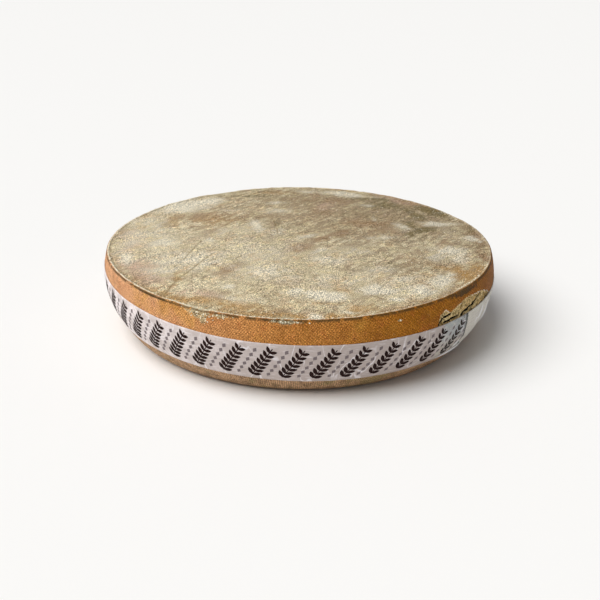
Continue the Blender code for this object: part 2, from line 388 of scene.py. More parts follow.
def turn_between(azimuth, middle):
    """The signed turn from middle to azimuth, from -180 to 180 degrees."""
    return (azimuth - middle + 180.0) % 360.0 - 180.0


def on_wheel(azimuth, radius, height):
    """The point at an azimuth, radius and height."""
    turn = math.radians(azimuth)
    return Vector((radius * math.sin(turn), -radius * math.cos(turn), height))


def wander(azimuth, radius, height, length):
    """Smooth unevenness from -1 to 1 that changes over the given length."""
    return noise.noise(on_wheel(azimuth, radius, height) / length)


def leaning(azimuth, front, right):
    """The height that a plane leaning to the front and to the right adds at the rim."""
    turn = math.radians(azimuth)
    return front * math.cos(turn) + right * math.sin(turn)


def top_height(azimuth, share):
    """Height of the top face's plane at a share of the rim's radius, with the rim's wave."""
    wave = RIM_WAVE * math.cos(3.0 * math.radians(azimuth)) * share**3
    return TOP_HEIGHT + leaning(azimuth, TOP_LEAN_FRONT, TOP_LEAN_RIGHT) * share - wave


def band_top(azimuth):
    """Height of the band's top edge."""
    return BAND_TOP_HEIGHT + leaning(azimuth, BAND_LEAN_FRONT, BAND_LEAN_RIGHT)


def heel_radius(azimuth, height):
    """Radius of the heel, slightly oval and uneven."""
    oval = 1.0 + OVAL_SHARE * math.cos(2.0 * math.radians(azimuth - OVAL_AZIMUTH))
    curve = WIDEST_RADIUS - HEEL_BULGE * (height - WIDEST_HEIGHT) ** 2
    return curve * oval + HEEL_WANDER * wander(azimuth, curve, height, WANDER_LENGTH)


def distance_to_chain(place, chain):
    """Distance from a flat place to the nearest stretch of a chain of points."""
    nearest = math.inf
    for start, end in zip(chain, chain[1:]):
        run = end - start
        share = min(max((place - start).dot(run) / run.length_squared, 0.0), 1.0)
        nearest = min(nearest, (place - start - run * share).length)
    return nearest


def flat_on_heel(azimuth, height):
    """The place of a point of the heel, in metres, with the heel rolled out flat."""
    return Vector((math.radians(azimuth) * WIDEST_RADIUS, height))


def broken_share(azimuth, height):
    """1 where the rind is broken away above the joint, 0 where it is whole, with a ragged edge."""
    ragged = PATCH_EDGE_RAGGED * noise.noise(on_wheel(azimuth, WIDEST_RADIUS, height) / FLAKE_LENGTH)
    edge = np.interp(azimuth, *zip(*PATCH_EDGE), left=0.0, right=0.0) + ragged
    above = min(max((edge - height) / PATCH_STEP, 0.0), 1.0)
    below = min(max((height - band_top(azimuth)) / PATCH_FADE_BELOW_BAND + 1.0, 0.0), 1.0)
    return above * below


def crack_share(azimuth, height):
    """1 in the middle of a crack of the broken rind, 0 away from it."""
    place = flat_on_heel(azimuth, height)
    return max(bump(distance_to_chain(place, crack), half_width) for crack, half_width in flat_cracks)


def patch_depth(azimuth, height):
    """How far the broken rind lies behind the whole rind, with its plates, flakes and cracks."""
    broken = broken_share(azimuth, height)
    if broken == 0.0:
        return 0.0
    plate, seam = plate_place(azimuth, height)
    plates = PLATE_RELIEF * plate + SEAM_DEPTH * seam
    flakes = FLAKE_RELIEF * wander(azimuth, WIDEST_RADIUS, height, FLAKE_LENGTH)
    return (PATCH_RECESS + plates + flakes + CRACK_DEPTH * crack_share(azimuth, height)) * broken


def plate_place(azimuth, height):
    """How far a flaked plate stands back, from -1 to 1, and 1 in the seam between two plates."""
    flat = flat_on_heel(azimuth, height)
    place = Vector((flat.x, flat.y, 0.0)) / PLATE_LENGTH
    place += noise.noise_vector(place * 2.0) * PLATE_WARP
    distances, centres = noise.voronoi(place)
    seam = bump(distances[1] - distances[0], SEAM_SHARE)
    return noise.noise(centres[0] * PLATE_SHUFFLE) * PLATE_STEPS, seam


def chip_share(azimuth):
    """1 in the middle of a place where the lip is knocked off."""
    return max(bump(turn_between(azimuth, chip[0]), chip[1]) for chip in RIM_CHIPS)


def lip_place(azimuth):
    """Radius and height of the lip's crest, knocked down and in where it is chipped."""
    rim = top_height(azimuth, 1.0)
    radius = heel_radius(azimuth, rim) - LIP_CREST_INSET
    height = rim + LIP_WANDER * wander(azimuth, radius, rim, LIP_WANDER_LENGTH)
    for middle, half_width, drop, inset in RIM_CHIPS:
        depth = bump(turn_between(azimuth, middle), half_width)
        height -= drop * depth
        radius -= inset * depth
    crumble = wander(azimuth, radius, rim, GRAIN_LENGTH)
    return radius + LIP_CRUMBLE * crumble, height + LIP_CRUMBLE * crumble


def curve_between(start, corner, end, share):
    """A point on the soft curve that leaves start towards corner and arrives at end."""
    first = (1.0 - share) ** 2
    middle = 2.0 * share * (1.0 - share)
    last = share**2
    return tuple(first * a + middle * b + last * c for a, b, c in zip(start, corner, end))


def lip_foot_radius(azimuth):
    """Radius of the inner foot of the lip, where the flat of the top face ends."""
    return lip_place(azimuth)[0] + LIP_CREST_INSET - LIP_FOOT_INSET


def top_surface(flat, azimuth, share):
    """Height of the top face, slightly uneven and lumpy, at a flat place that is a share of the way out."""
    uneven = TOP_WANDER * noise.noise(flat / WANDER_LENGTH) * (1.0 - share**RIM_STEADY)
    lumps = LUMP_RISE * noise.noise(flat / LUMP_LENGTH)
    return top_height(azimuth, share) - LIP_HEIGHT + uneven + lumps


def heel_relief(azimuth, height):
    """The heel's small lumps and grain, in metres."""
    lumps = HEEL_LUMPS * LUMP_RISE * wander(azimuth, WIDEST_RADIUS, height, LUMP_LENGTH)
    return lumps + HEEL_GRAIN * GRAIN_RISE * wander(azimuth, WIDEST_RADIUS, height, GRAIN_LENGTH)


def rim_and_heel(azimuth):
    """The outline from the lip's foot over the rim and down the heel to the base, as (radius, height)."""
    crest = lip_place(azimuth)
    rim = top_height(azimuth, 1.0)
    foot = (lip_foot_radius(azimuth), rim - LIP_HEIGHT)
    inner_corner = ((foot[0] + crest[0]) / 2.0, crest[1])
    outline = [curve_between(foot, inner_corner, crest, share) for share in LIP_STEPS]
    outline.append(crest)

    heel_end = (heel_radius(azimuth, rim - RIM_ROUND), rim - RIM_ROUND)
    outer_corner = (heel_radius(azimuth, rim), crest[1])
    outline += [curve_between(crest, outer_corner, heel_end, share) for share in RIM_ROUND_STEPS]

    high = band_top(azimuth)
    low = high - BAND_WIDTH
    stretches = (
        (rim - RIM_ROUND, high, ROWS_ABOVE_BAND),
        (high, low, ROWS_BEHIND_BAND),
        (low, BASE_ROUND_HEIGHT, ROWS_BELOW_BAND),
    )
    heights = [rim - RIM_ROUND]
    for start, end, rows in stretches:
        heights += [start + (end - start) * row / rows for row in range(1, rows + 1)]
    for height in heights:
        relief = heel_relief(azimuth, height) - patch_depth(azimuth, height)
        outline.append((heel_radius(azimuth, height) + relief, height))

    round_end = (heel_radius(azimuth, BASE_ROUND_HEIGHT), BASE_ROUND_HEIGHT)
    round_corner = (heel_radius(azimuth, 0.0), 0.0)
    base = (BASE_RADIUS, 0.0)
    outline += [curve_between(base, round_corner, round_end, share) for share in BASE_ROUND_STEPS]
    return outline


def crowded(azimuth, share):
    """Moves columns closer together at the broken rind, by less towards the middle of the top face."""
    return azimuth + (np.interp(azimuth, column_shares, column_degrees) - azimuth) * share**2


def disc_place(across, along):
    """Azimuth and radius share of a cell corner, as the square grid is drawn out to a disc."""
    share = max(abs(across), abs(along))
    if share == 0.0:
        return 0.0, 0.0
    if abs(across) >= abs(along):
        turn = math.pi / 4.0 * along / across
        x, y = across * math.cos(turn), across * math.sin(turn)
    else:
        turn = math.pi / 4.0 * across / along
        x, y = along * math.sin(turn), along * math.cos(turn)
    return math.degrees(math.atan2(x, -y)), share


def crease_share(place):
    """How deep a place of the top face lies in a crease, in metres, and as a share of its depth."""
    depth, deepest = 0.0, 0.0
    for chain, crease_depth, half_width in flat_creases:
        share = bump(distance_to_chain(place, chain), half_width)
        depth = max(depth, crease_depth * share)
        deepest = max(deepest, share)
    return depth, deepest


def stain_share(place, stains):
    """How strongly a family of stains covers a place of the top face, with wandering edges."""
    for length, amount in STAIN_WANDERS:
        drift = noise.noise_vector(Vector((place.x, place.y, 0.0)) / length) * amount
        place = place + drift.xy
    inner, outer = STAIN_EDGE
    strongest = 0.0
    for x, y, half_length, half_width, turn, strength in stains:
        away = Matrix.Rotation(-math.radians(turn), 2) @ (place * MM_PER_METRE - Vector((x, y)))
        reach = math.hypot(away.x / half_length, away.y / half_width)
        strongest = max(strongest, strength * min(max((outer - reach) / (outer - inner), 0.0), 1.0))
    return strongest


def rim_brown(azimuth, share):
    """How brown the edge of the top face is, most of all towards the front right."""
    near_rim = min(max((share - RIM_RING_START) / (1.0 - RIM_RING_START), 0.0), 1.0)
    swing = (1.0 - RIM_BROWN_MEAN) * math.cos(math.radians(azimuth - RIM_BROWNEST))
    return near_rim * (RIM_BROWN_MEAN + swing)


def smear_share(azimuth, height, smears):
    """How strongly a family of smears covers a place of the heel."""
    strongest = 0.0
    for middle, level, half_width, half_height in smears:
        reach = math.hypot(turn_between(azimuth, middle) / half_width, (height - level) / half_height)
        strongest = max(strongest, bump(reach, SMEAR_EDGE))
    return strongest


def finish_piece(name, mesh_data, material):
    """Makes a smooth-shaded object of a bmesh, riding on the wheel's one body."""
    mesh = bpy.data.meshes.new(name)
    mesh_data.to_mesh(mesh)
    mesh_data.free()
    mesh.materials.append(material)
    mesh.shade_smooth()
    piece = bpy.data.objects.new(name, mesh)
    bpy.context.scene.collection.objects.link(piece)
    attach(piece, "root")
    return piece


noise.seed_set(NOISE_SEED)
flat_cracks = [([flat_on_heel(*point) for point in crack], half_width) for crack, half_width in CRACKS]
flat_creases = [
    ([Vector(point) / MM_PER_METRE for point in chain], depth / MM_PER_METRE, half_width / MM_PER_METRE)
    for chain, depth, half_width in CREASES
]
column_degrees = np.arange(-180.0, 180.5, 0.5)
in_fine_stretch = (column_degrees > FINE_STRETCH[0]) & (column_degrees < FINE_STRETCH[1])
crowding = np.cumsum(np.where(in_fine_stretch, FINE_DENSITY, 1.0))
column_shares = (crowding - crowding[0]) / (crowding[-1] - crowding[0]) * 360.0 - 180.0

wheel = bmesh.new()
masks = ("top_face", "rim_ring", "lip", "under_lip", "broken", "crack", "seam", "crease", "chip", "dust")
masks += ("scuff_and_shade", *STAINS)
mask = {name: wheel.verts.layers.float.new(name) for name in masks}
bmesh.ops.create_grid(wheel, x_segments=TOP_CELLS, y_segments=TOP_CELLS, size=1.0)
rim_azimuths = {}
for vertex in wheel.verts:
    azimuth, share = disc_place(vertex.co.x, vertex.co.y)
    azimuth = crowded(azimuth, share)
    radius = lip_foot_radius(azimuth) * share
    flat = on_wheel(azimuth, radius, 0.0)
    place = flat.xy
    crease_depth, vertex[mask["crease"]] = crease_share(place)
    grain = GRAIN_RISE * noise.noise(flat / GRAIN_LENGTH)
    vertex.co = on_wheel(azimuth, radius, top_surface(flat, azimuth, share) + grain - crease_depth)
    vertex[mask["top_face"]] = 1.0
    vertex[mask["rim_ring"]] = rim_brown(azimuth, share)
    vertex[mask["chip"]] = chip_share(azimuth) * share**CHIP_FALL
    for name, stains in STAINS.items():
        vertex[mask[name]] = stain_share(place, stains)
    if vertex.is_boundary:
        rim_azimuths[tuple(vertex.co)] = azimuth

outlines = {azimuth: rim_and_heel(azimuth) for azimuth in rim_azimuths.values()}
edges = [edge for edge in wheel.edges if edge.is_boundary]
rows = len(LIP_STEPS) + 1 + len(RIM_ROUND_STEPS) + 1
rows += ROWS_ABOVE_BAND + ROWS_BEHIND_BAND + ROWS_BELOW_BAND + len(BASE_ROUND_STEPS)
crest_row = len(LIP_STEPS)
for row in range(rows):
    made = bmesh.ops.extrude_edge_only(wheel, edges=edges)["geom"]
    corners = {part for part in made if isinstance(part, bmesh.types.BMVert)}
    edges = [part for part in made if isinstance(part, bmesh.types.BMEdge)]
    edges = [edge for edge in edges if corners.issuperset(edge.verts)]
    azimuths = [rim_azimuths[tuple(vertex.co)] for vertex in corners]
    rim_azimuths = {}
    for vertex, azimuth in zip(corners, azimuths):
        radius, height = outlines[azimuth][row]
        vertex.co = on_wheel(azimuth, radius, height)
        rim_azimuths[tuple(vertex.co)] = azimuth
        for layer in mask.values():
            vertex[layer] = 0.0
        vertex[mask["top_face"]] = min(max((crest_row - row) / TOP_FADE_ROWS + 1.0, 0.0), 1.0)
        vertex[mask["rim_ring"]] = rim_brown(azimuth, 1.0) if row <= crest_row else 0.0
        vertex[mask["lip"]] = bump(row - crest_row, LIP_ROWS)
        vertex[mask["under_lip"]] = bump(row - crest_row - UNDER_LIP_ROWS, UNDER_LIP_ROWS)
        vertex[mask["chip"]] = chip_share(azimuth) * bump(row - crest_row, CHIP_ROWS)
        vertex[mask["dust"]] = smear_share(azimuth, height, HEEL_SMEARS)
        vertex[mask["scuff_and_shade"]] = smear_share(azimuth, height, HEEL_SCUFFS_AND_SHADE)
        broken = broken_share(azimuth, height)
        vertex[mask["broken"]] = broken
        if broken > 0.0:
            vertex[mask["crack"]] = crack_share(azimuth, height) * broken
            vertex[mask["seam"]] = plate_place(azimuth, height)[1] * broken
        if row <= crest_row:
            for name, stains in STAINS.items():
                vertex[mask[name]] = stain_share(vertex.co.xy, stains)
bmesh.ops.edgeloop_fill(wheel, edges=edges)
bmesh.ops.recalc_face_normals(wheel, faces=wheel.faces)

# The heel rolled out flat, in metres, so that the cloth's weave follows the surface.
rolled = wheel.loops.layers.uv.new("rolled_out")
for face in wheel.faces:
    middle = math.degrees(math.atan2(*(face.calc_center_median().xy * Vector((1.0, -1.0)))))
    for loop in face.loops:
        azimuth = math.degrees(math.atan2(loop.vert.co.x, -loop.vert.co.y))
        near_middle = middle + turn_between(azimuth, middle)
        loop[rolled].uv = flat_on_heel(near_middle, loop.vert.co.z)


def linear(hex_colour):
    """An sRGB hex colour as the linear colour that a shader takes."""
    channels = [int(hex_colour[start : start + 2], 16) / 255.0 for start in (1, 3, 5)]
    light = [c / 12.92 if c <= 0.04045 else ((c + 0.055) / 1.055) ** 2.4 for c in channels]
    return (*light, 1.0)


def add_node(tree, kind, inputs=None, **settings):
    """Adds a node with its settings, and sets or links its inputs."""
    node = tree.nodes.new(kind)
    for name, value in settings.items():
        setattr(node, name, value)
    for name, value in (inputs or {}).items():
        if isinstance(value, bpy.types.NodeSocket):
            tree.links.new(value, node.inputs[name])
        else:
            node.inputs[name].default_value = value
    return node


def new_material(name):
    """A material with an empty node tree, and the tree."""
    material = bpy.data.materials.new(name)
    material.use_nodes = True
    material.node_tree.nodes.clear()
    return material, material.node_tree


def let_through(tree, *covers):
    """What several covers let through together, as the product of what each does.

    A cover is a mask, or a pattern with its two limits and, where they aren't 0 and 1, the shares that it lets
    through there.
    """
    share = 1.0
    for cover in covers:
        if isinstance(cover, tuple):
            inputs = dict(zip(("Value", 1, 2, 3, 4), cover))
            cover = add_node(tree, "ShaderNodeMapRange", inputs, interpolation_type="SMOOTHSTEP").outputs[0]
        share = add_node(tree, "ShaderNodeMath", {0: share, 1: cover}, operation="MULTIPLY").outputs[0]
    return share


# In a Mix node, the inputs are 0 for the share, 2 and 3 for two values, and 6 and 7 for two colours. The
# outputs are 0 for a value and 2 for a colour.
def lay_over(tree, below, colour, *covers):
    """Lays a colour over another, as strongly as its covers let it through."""
    inputs = {0: let_through(tree, *covers), 6: below, 7: colour}
    return add_node(tree, "ShaderNodeMix", inputs, data_type="RGBA").outputs[2]


def lay_coats(tree, pattern, ground, coats):
    """A ground colour with its coats laid over it, each where its pattern lets it through."""
    colour = linear(ground)
    for coat, name, start, full, most in coats:
        colour = lay_over(tree, colour, linear(coat), (pattern[name], start, full, 0.0, most))
    return colour


def shade(tree, colour, *factors):
    """Makes a colour lighter or darker by factors around 1, each given as a cover is."""
    inputs = {0: colour, "Scale": let_through(tree, *factors)}
    return add_node(tree, "ShaderNodeVectorMath", inputs, operation="SCALE").outputs[0]


def fray(tree, mask, cover):
    """Moves the edge of a mask in and out with a pattern."""
    inputs = {0: mask, 1: let_through(tree, cover)}
    return add_node(tree, "ShaderNodeMath", inputs, operation="ADD", use_clamp=True).outputs[0]


def show_surface(tree, inputs):
    """Ends a material with its shader and the output that shows it."""
    shader = add_node(tree, "ShaderNodeBsdfPrincipled", inputs)
    add_node(tree, "ShaderNodeOutputMaterial", {"Surface": shader.outputs["BSDF"]})


TOP_BASE = "#BDAF8F"
TOP_LIGHT = "#CDC1A3"
TOP_DARK = "#9A8566"
TOP_WARM = "#B99B78"
TOP_CREAM = "#D6C79C"
RIM_BROWN = "#A68252"
RIM_PIT_SHADE = "#5E4A2C"
WHITE_SPECK_AND_HIGHLIGHT = "#FBF4E4"
STAIN_COLOURS = {
    "shade": "#927D5E",
    "brown_stain": "#977A5A",
    "pink_smear": "#C0A28C",
    "ochre_smear": "#AC854E",
    "olive_stain": "#74653F",
    "pale_bloom": "#DDD4BE",
}
CREASE_SHADE_BROWN = "#85704C"
LIP_DRY_AND_HIGHLIGHT = "#FFF6DC"
LIP_SHADOW = "#463820"
HEEL_ORANGE = "#BF7F3A"
HEEL_ORANGE_LEFT_SHEEN = "#D79F72"
HEEL_ORANGE_RIGHT = "#AC6C12"
HEEL_BROWN_RIGHT = "#9C600C"
HEEL_MARK = "#8E4E14"
HEEL_YELLOW = "#D09A40"
HEEL_RED = "#B8622E"
LOWER_BROWN = "#B4906D"
LOWER_DARK = "#6C523B"
LOWER_GREEN = "#86784E"
DUST_GREY = "#B59B70"
BROKEN_KHAKI = "#DBBC82"
BROKEN_PALE = "#E0CB98"
BROKEN_ORANGE = "#CC9A52"
BROKEN_DEEP = "#73602F"
SCUFF_AND_SHADE_OLIVE = "#4C3A1E"
CRACK_SHADE_DARK = "#12130C"
CHIP_GREY = "#B4AE92"

# The rind's patterns: how wide their features are in metres, and their detail and roughness. The real grain
# is finer than a millimetre, and is drawn at 1.3 mm so that it shows.
RIND_PATTERNS = {
    "blotches": (0.050, 5.0, 0.60),
    "smears": (0.026, 5.0, 0.65),
    "cream": (0.018, 5.0, 0.65),
    "tatters": (0.016, 7.0, 0.70),
    "redness": (0.014, 5.0, 0.65),
    "mottle": (0.012, 4.0, 0.65),
    "coarse": (0.0080, 4.0, 0.70),
    "flakes": (0.0045, 4.0, 0.70),
    "grain": (0.0013, 2.0, 0.60),
}

# What lies over each ground colour, from below upwards: its colour, the pattern that it follows, the values
# of the pattern where it starts and where it is full, and how strongly it then covers.
TOP_COATS = (
    (TOP_LIGHT, "blotches", 0.42, 0.62, 1.0),
    (TOP_DARK, "mottle", 0.50, 0.72, 0.45),
    (TOP_WARM, "smears", 0.48, 0.66, 0.55),
    (TOP_CREAM, "cream", 0.50, 0.66, 0.6),
)
HEEL_COATS = (
    (HEEL_ORANGE, "across", -0.28, 0.02, 1.0),
    (HEEL_ORANGE_RIGHT, "across", 0.0, 0.16, 1.0),
    (HEEL_BROWN_RIGHT, "across", 0.18, 0.28, 1.0),
    (HEEL_MARK, "smears", 0.46, 0.74, 0.5),
    (HEEL_YELLOW, "blotches", 0.52, 0.70, 0.45),
    (HEEL_RED, "redness", 0.52, 0.70, 0.35),
)
LOWER_COATS = (
    (LOWER_DARK, "mottle", 0.42, 0.68, 0.65),
    (LOWER_GREEN, "blotches", 0.52, 0.64, 0.6),
)
BROKEN_COATS = (
    (BROKEN_PALE, "coarse", 0.46, 0.64, 1.0),
    (BROKEN_ORANGE, "mottle", 0.52, 0.68, 0.6),
    (BROKEN_DEEP, "coarse", 0.46, 0.34, 0.8),
    (BROKEN_DEEP, "flakes", 0.50, 0.62, 0.75),
)

# The brush left streaks some 7 mm wide and six times as long, on a slant across the top face.
BRUSH_WIDTH = 0.007
BRUSH_LENGTHS = 6.0
BRUSH_SLANT = 50.0

# The top face is darker towards the back right: partly riper rind, partly painted shade.
RIPE_AND_SHADED_TOWARDS = (0.85, 0.53, 0.0)

# The cloth's threads: how far they are turned from upright, and their spacing. They left their mark 3 mm
# apart, drawn a little coarser than they are so that they show.
WEAVE_THREADS = ((40.0, 0.0030), (-50.0, 0.0034))
RIB_THREADS = (0.0, 0.0032)

# The shallow relief of the grain and the threads, and how dull the waxy heel and the dry top are.
RIND_RELIEF = 0.0009
WAXY_ROUGHNESS = 0.6
DRY_ROUGHNESS = 0.9


def make_rind():
    """Brushed and washed cheese rind: its top is matt and grainy, its cloth-marked heel has a waxy sheen."""
    material, tree = new_material("washed_cheese_rind")
    place = add_node(tree, "ShaderNodeTexCoord").outputs["Object"]
    rolled_out = add_node(tree, "ShaderNodeUVMap", uv_map="rolled_out").outputs["UV"]
    share = {
        name: add_node(tree, "ShaderNodeAttribute", attribute_name=name).outputs["Fac"] for name in masks
    }
    axes = add_node(tree, "ShaderNodeSeparateXYZ", {"Vector": place}).outputs
    pattern = {"across": axes["X"], "up": axes["Z"]}
    for name, (width, detail, roughness) in RIND_PATTERNS.items():
        inputs = {"Vector": place, "Scale": 1.0 / width, "Detail": detail, "Roughness": roughness}
        pattern[name] = add_node(tree, "ShaderNodeTexNoise", inputs).outputs["Fac"]
    across, up, mottle = pattern["across"], pattern["up"], pattern["mottle"]
    coarse, grain = pattern["coarse"], pattern["grain"]

    def grainy(colour, darkest, lightest, whitish):
        """A colour broken up into darker and lighter grains, partly the rind's own specks and partly painted
        light and shade of their side-lit relief; the lightest are a little whitish.
        """
        colour = shade(tree, colour, (grain, 0.36, 0.64, darkest, lightest))
        return lay_over(tree, colour, linear(WHITE_SPECK_AND_HIGHLIGHT), (grain, 0.50, 0.72, 0.0, whitish))

    # The top face: blotches some centimetres wide, brush streaks on the slant, stains, then the dry grain,
    # whose lighter and darker grains are partly painted light and shade.
    turn = (0.0, 0.0, math.radians(BRUSH_SLANT))
    inputs = {"Vector": place, "Rotation": turn, "Scale": (BRUSH_LENGTHS, 1.0, 1.0)}
    slanted = add_node(tree, "ShaderNodeMapping", inputs, vector_type="TEXTURE").outputs["Vector"]
    inputs = {"Vector": slanted, "Scale": 1.0 / BRUSH_WIDTH, "Detail": 4.0, "Roughness": 0.6}
    streaks = add_node(tree, "ShaderNodeTexNoise", inputs).outputs["Fac"]
    ragged = let_through(tree, (pattern["tatters"], 0.3, 0.7, 0.0, 0.5))
    ragged = fray(tree, ragged, (streaks, 0.3, 0.7, 0.0, 0.5))
    top = lay_coats(tree, pattern, TOP_BASE, TOP_COATS)
    top = lay_over(tree, top, linear(RIM_BROWN), share["rim_ring"], (ragged, 0.3, 0.6, 0.0, 0.9))
    for name, colour in STAIN_COLOURS.items():
        edge = fray(tree, share[name], (ragged, 0.25, 0.75, -0.25, 0.25))
        top = lay_over(tree, top, linear(colour), (edge, 0.0, 0.95, 0.0, 0.95))
    # The darkening towards the back right is partly riper rind and partly painted shade.
    inputs = {0: place, 1: RIPE_AND_SHADED_TOWARDS}
    backwards = add_node(tree, "ShaderNodeVectorMath", inputs, operation="DOT_PRODUCT").outputs["Value"]
    ripe_and_shaded = (backwards, -0.26, 0.28, 1.08, 0.87)
    clumps = (coarse, 0.30, 0.70, 1.12, 0.88)
    brushed = (streaks, 0.30, 0.70, 1.07, 0.92)
    # Near the rim the lowest grains are darkened with painted shade, standing for pits.
    top = lay_over(tree, top, linear(RIM_PIT_SHADE), share["rim_ring"], (grain, 0.46, 0.34, 0.0, 0.9))
    top = grainy(shade(tree, top, ripe_and_shaded, clumps, brushed), 0.26, 1.90, 0.15)
    # The creases are darkened with painted shade.
    top = lay_over(tree, top, linear(CREASE_SHADE_BROWN), (share["crease"], 0.2, 1.0, 0.0, 0.8))

    # The heel: orange that is paler to the left, where a sheen is painted into it, browner to the right, and
    # dull brown below the band.
    heel = lay_coats(tree, pattern, HEEL_ORANGE_LEFT_SHEEN, HEEL_COATS)
    lower = lay_coats(tree, pattern, LOWER_BROWN, LOWER_COATS)
    lower = shade(tree, lower, (up, 0.008, 0.034, 1.00, 1.08))
    on_lower = let_through(tree, (up, 0.062, 0.030))
    heel = lay_over(tree, heel, lower, on_lower)

    def threads(turn, spacing):
        """Raised threads that run at a turn from upright, by their spacing, worn and uneven."""
        inputs = {"Vector": rolled_out, "Rotation": (0.0, 0.0, math.radians(turn))}
        turned = add_node(tree, "ShaderNodeMapping", inputs).outputs["Vector"]
        inputs = {"Vector": turned, "Scale": math.pi / (10.0 * spacing), "Distortion": 3.0, "Detail": 3.0}
        return add_node(tree, "ShaderNodeTexWave", inputs, bands_direction="X").outputs["Fac"]

    # The cloth's weave shows on the slant above the band, and as upright ribs below it.
    weave = let_through(tree, *(threads(turn, spacing) for turn, spacing in WEAVE_THREADS))
    ribs = threads(*RIB_THREADS)
    cloth = add_node(tree, "ShaderNodeMix", {0: on_lower, 2: weave, 3: ribs}).outputs[0]
    heel = grainy(shade(tree, heel, (cloth, 0.0, 0.8, 0.80, 1.24)), 0.52, 1.50, 0.06)

    # Scuffs and dust under the lip, with a dark line of painted shade close below it. The scuffs are partly
    # painted shade too.
    scuffed_and_shaded = fray(tree, share["scuff_and_shade"], (coarse, 0.3, 0.7, -0.3, 0.3))
    heel = lay_over(tree, heel, linear(SCUFF_AND_SHADE_OLIVE), (scuffed_and_shaded, 0.15, 0.7, 0.0, 0.9))
    dust = lay_over(tree, linear(DUST_GREY), linear(LIP_SHADOW), (coarse, 0.54, 0.62, 0.0, 0.9))
    dusty = fray(tree, share["dust"], (coarse, 0.3, 0.7, -0.3, 0.3))
    heel = lay_over(tree, heel, grainy(dust, 0.35, 1.7, 0.3), (dusty, 0.2, 0.6, 0.0, 0.9))
    heel = lay_over(tree, heel, linear(LIP_SHADOW), share["under_lip"], (mottle, 0.36, 0.50, 0.0, 0.9))

    # The lip is dry and pale, with a painted highlight along its crest that is strongest at the left, and
    # greyish and crumbly where it is chipped.
    colour = lay_over(tree, heel, top, share["top_face"])
    dry_and_lit = ((coarse, 0.42, 0.55), (across, -0.02, 0.20, 1.0, 0.3), (mottle, 0.34, 0.50, 0.5, 1.0))
    colour = lay_over(tree, colour, linear(LIP_DRY_AND_HIGHLIGHT), share["lip"], *dry_and_lit)
    crumbly = ((coarse, 0.42, 0.58), (across, 0.05, 0.20, 0.8, 0.1))
    colour = lay_over(tree, colour, linear(CHIP_GREY), share["chip"], *crumbly)

    # The broken rind: khaki plates with paler, oranger and darker flakes, a whitish painted highlight along
    # its edge, and seams and cracks darkened with painted shade.
    plates = grainy(lay_coats(tree, pattern, BROKEN_KHAKI, BROKEN_COATS), 0.62, 1.42, 0.12)
    plates = lay_over(tree, plates, linear(LIP_SHADOW), (share["seam"], 0.35, 1.0, 0.0, 0.7))
    broken = share["broken"]
    colour = lay_over(tree, colour, plates, broken)
    painted_edge_highlight = ((broken, 0.1, 0.5), (broken, 1.0, 0.6), (mottle, 0.42, 0.54, 0.0, 0.8))
    colour = lay_over(tree, colour, linear(WHITE_SPECK_AND_HIGHLIGHT), *painted_edge_highlight)
    split = fray(tree, share["crack"], (coarse, 0.3, 0.7, 0.18, -0.18))
    colour = lay_over(tree, colour, linear(CRACK_SHADE_DARK), (split, 0.34, 0.66))

    rough = fray(tree, let_through(tree, (grain, 0.3, 0.7, 0.0, 0.75)), (coarse, 0.3, 0.7, 0.0, 0.25))
    height = add_node(tree, "ShaderNodeMix", {0: share["top_face"], 2: cloth, 3: rough}).outputs[0]
    inputs = {"Height": height, "Strength": 0.8, "Distance": RIND_RELIEF}
    relief = add_node(tree, "ShaderNodeBump", inputs).outputs["Normal"]

    dull = WAXY_ROUGHNESS
    for name in ("top_face", "broken"):
        dull = add_node(tree, "ShaderNodeMix", {0: share[name], 2: dull, 3: DRY_ROUGHNESS}).outputs[0]
    inputs = {"Base Color": colour, "Roughness": dull, "Normal": relief, "IOR": 1.46}
    show_surface(tree, {**inputs, "Specular IOR Level": 0.1})
    return material


cheese = finish_piece("ripened_cheese", wheel, make_rind())
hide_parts("cheese_wheel")

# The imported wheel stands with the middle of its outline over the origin, so each piece moves by this.
low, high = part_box("cheese_wheel")
own_low = Vector([min(vertex.co[axis] for vertex in cheese.data.vertices) for axis in range(3)])
own_high = Vector([max(vertex.co[axis] for vertex in cheese.data.vertices) for axis in range(3)])
to_middle = (low + high) / 2.0 - (own_low + own_high) / 2.0
to_middle.z = 0.0
cheese.data.transform(Matrix.Translation(to_middle))


# The crumbs
# Small dry crumbs and flakes of rind that cling to the lip and lie loose on the top face. They are pale or
# greyish, and a millimetre or two wide.

RIM_CRUMBS = 950
TOP_CRUMBS = 500
CRUMBS_PER_DEGREE = 6.0
CRUMB_SEED = 7
CRUMB_HALF = (0.0005, 0.0014)
CRUMB_FLATNESS = 0.45
RIM_CRUMB_SPREAD = 0.0016
CRUMB_PATCH_LENGTH = 0.030
CRUMBLIEST = (-25.0, 60.0)

# A crumb's place round the rim is kept by chance, more often near the crumbliest place and at the chips.
CROWD_ANYWHERE = 0.15
CROWD_CRUMBLIEST = 0.9

# Crumbs that fell inwards lie close under the crest, and those outside hang further down.
DROP_INSIDE = 0.3
DROP_OUTSIDE = 1.6
OUTER_REACH = 0.8
OUTER_SLOPE = 0.7

# A crumb's tone runs from 0 to 1. Pale crumbs turn grey and then brown between these tones. Those on the top
# face stop at the lowest tone below, those on the lip at the next, and those in the smears run to the end.
CRUMB_PALE = "#FBF3DC"
CRUMB_TONES = (
    ("#A8A283", 0.35, 0.75),
    ("#7A6238", 0.75, 0.95),
)
TOP_TONES = 0.6
LIP_TONES = 0.8


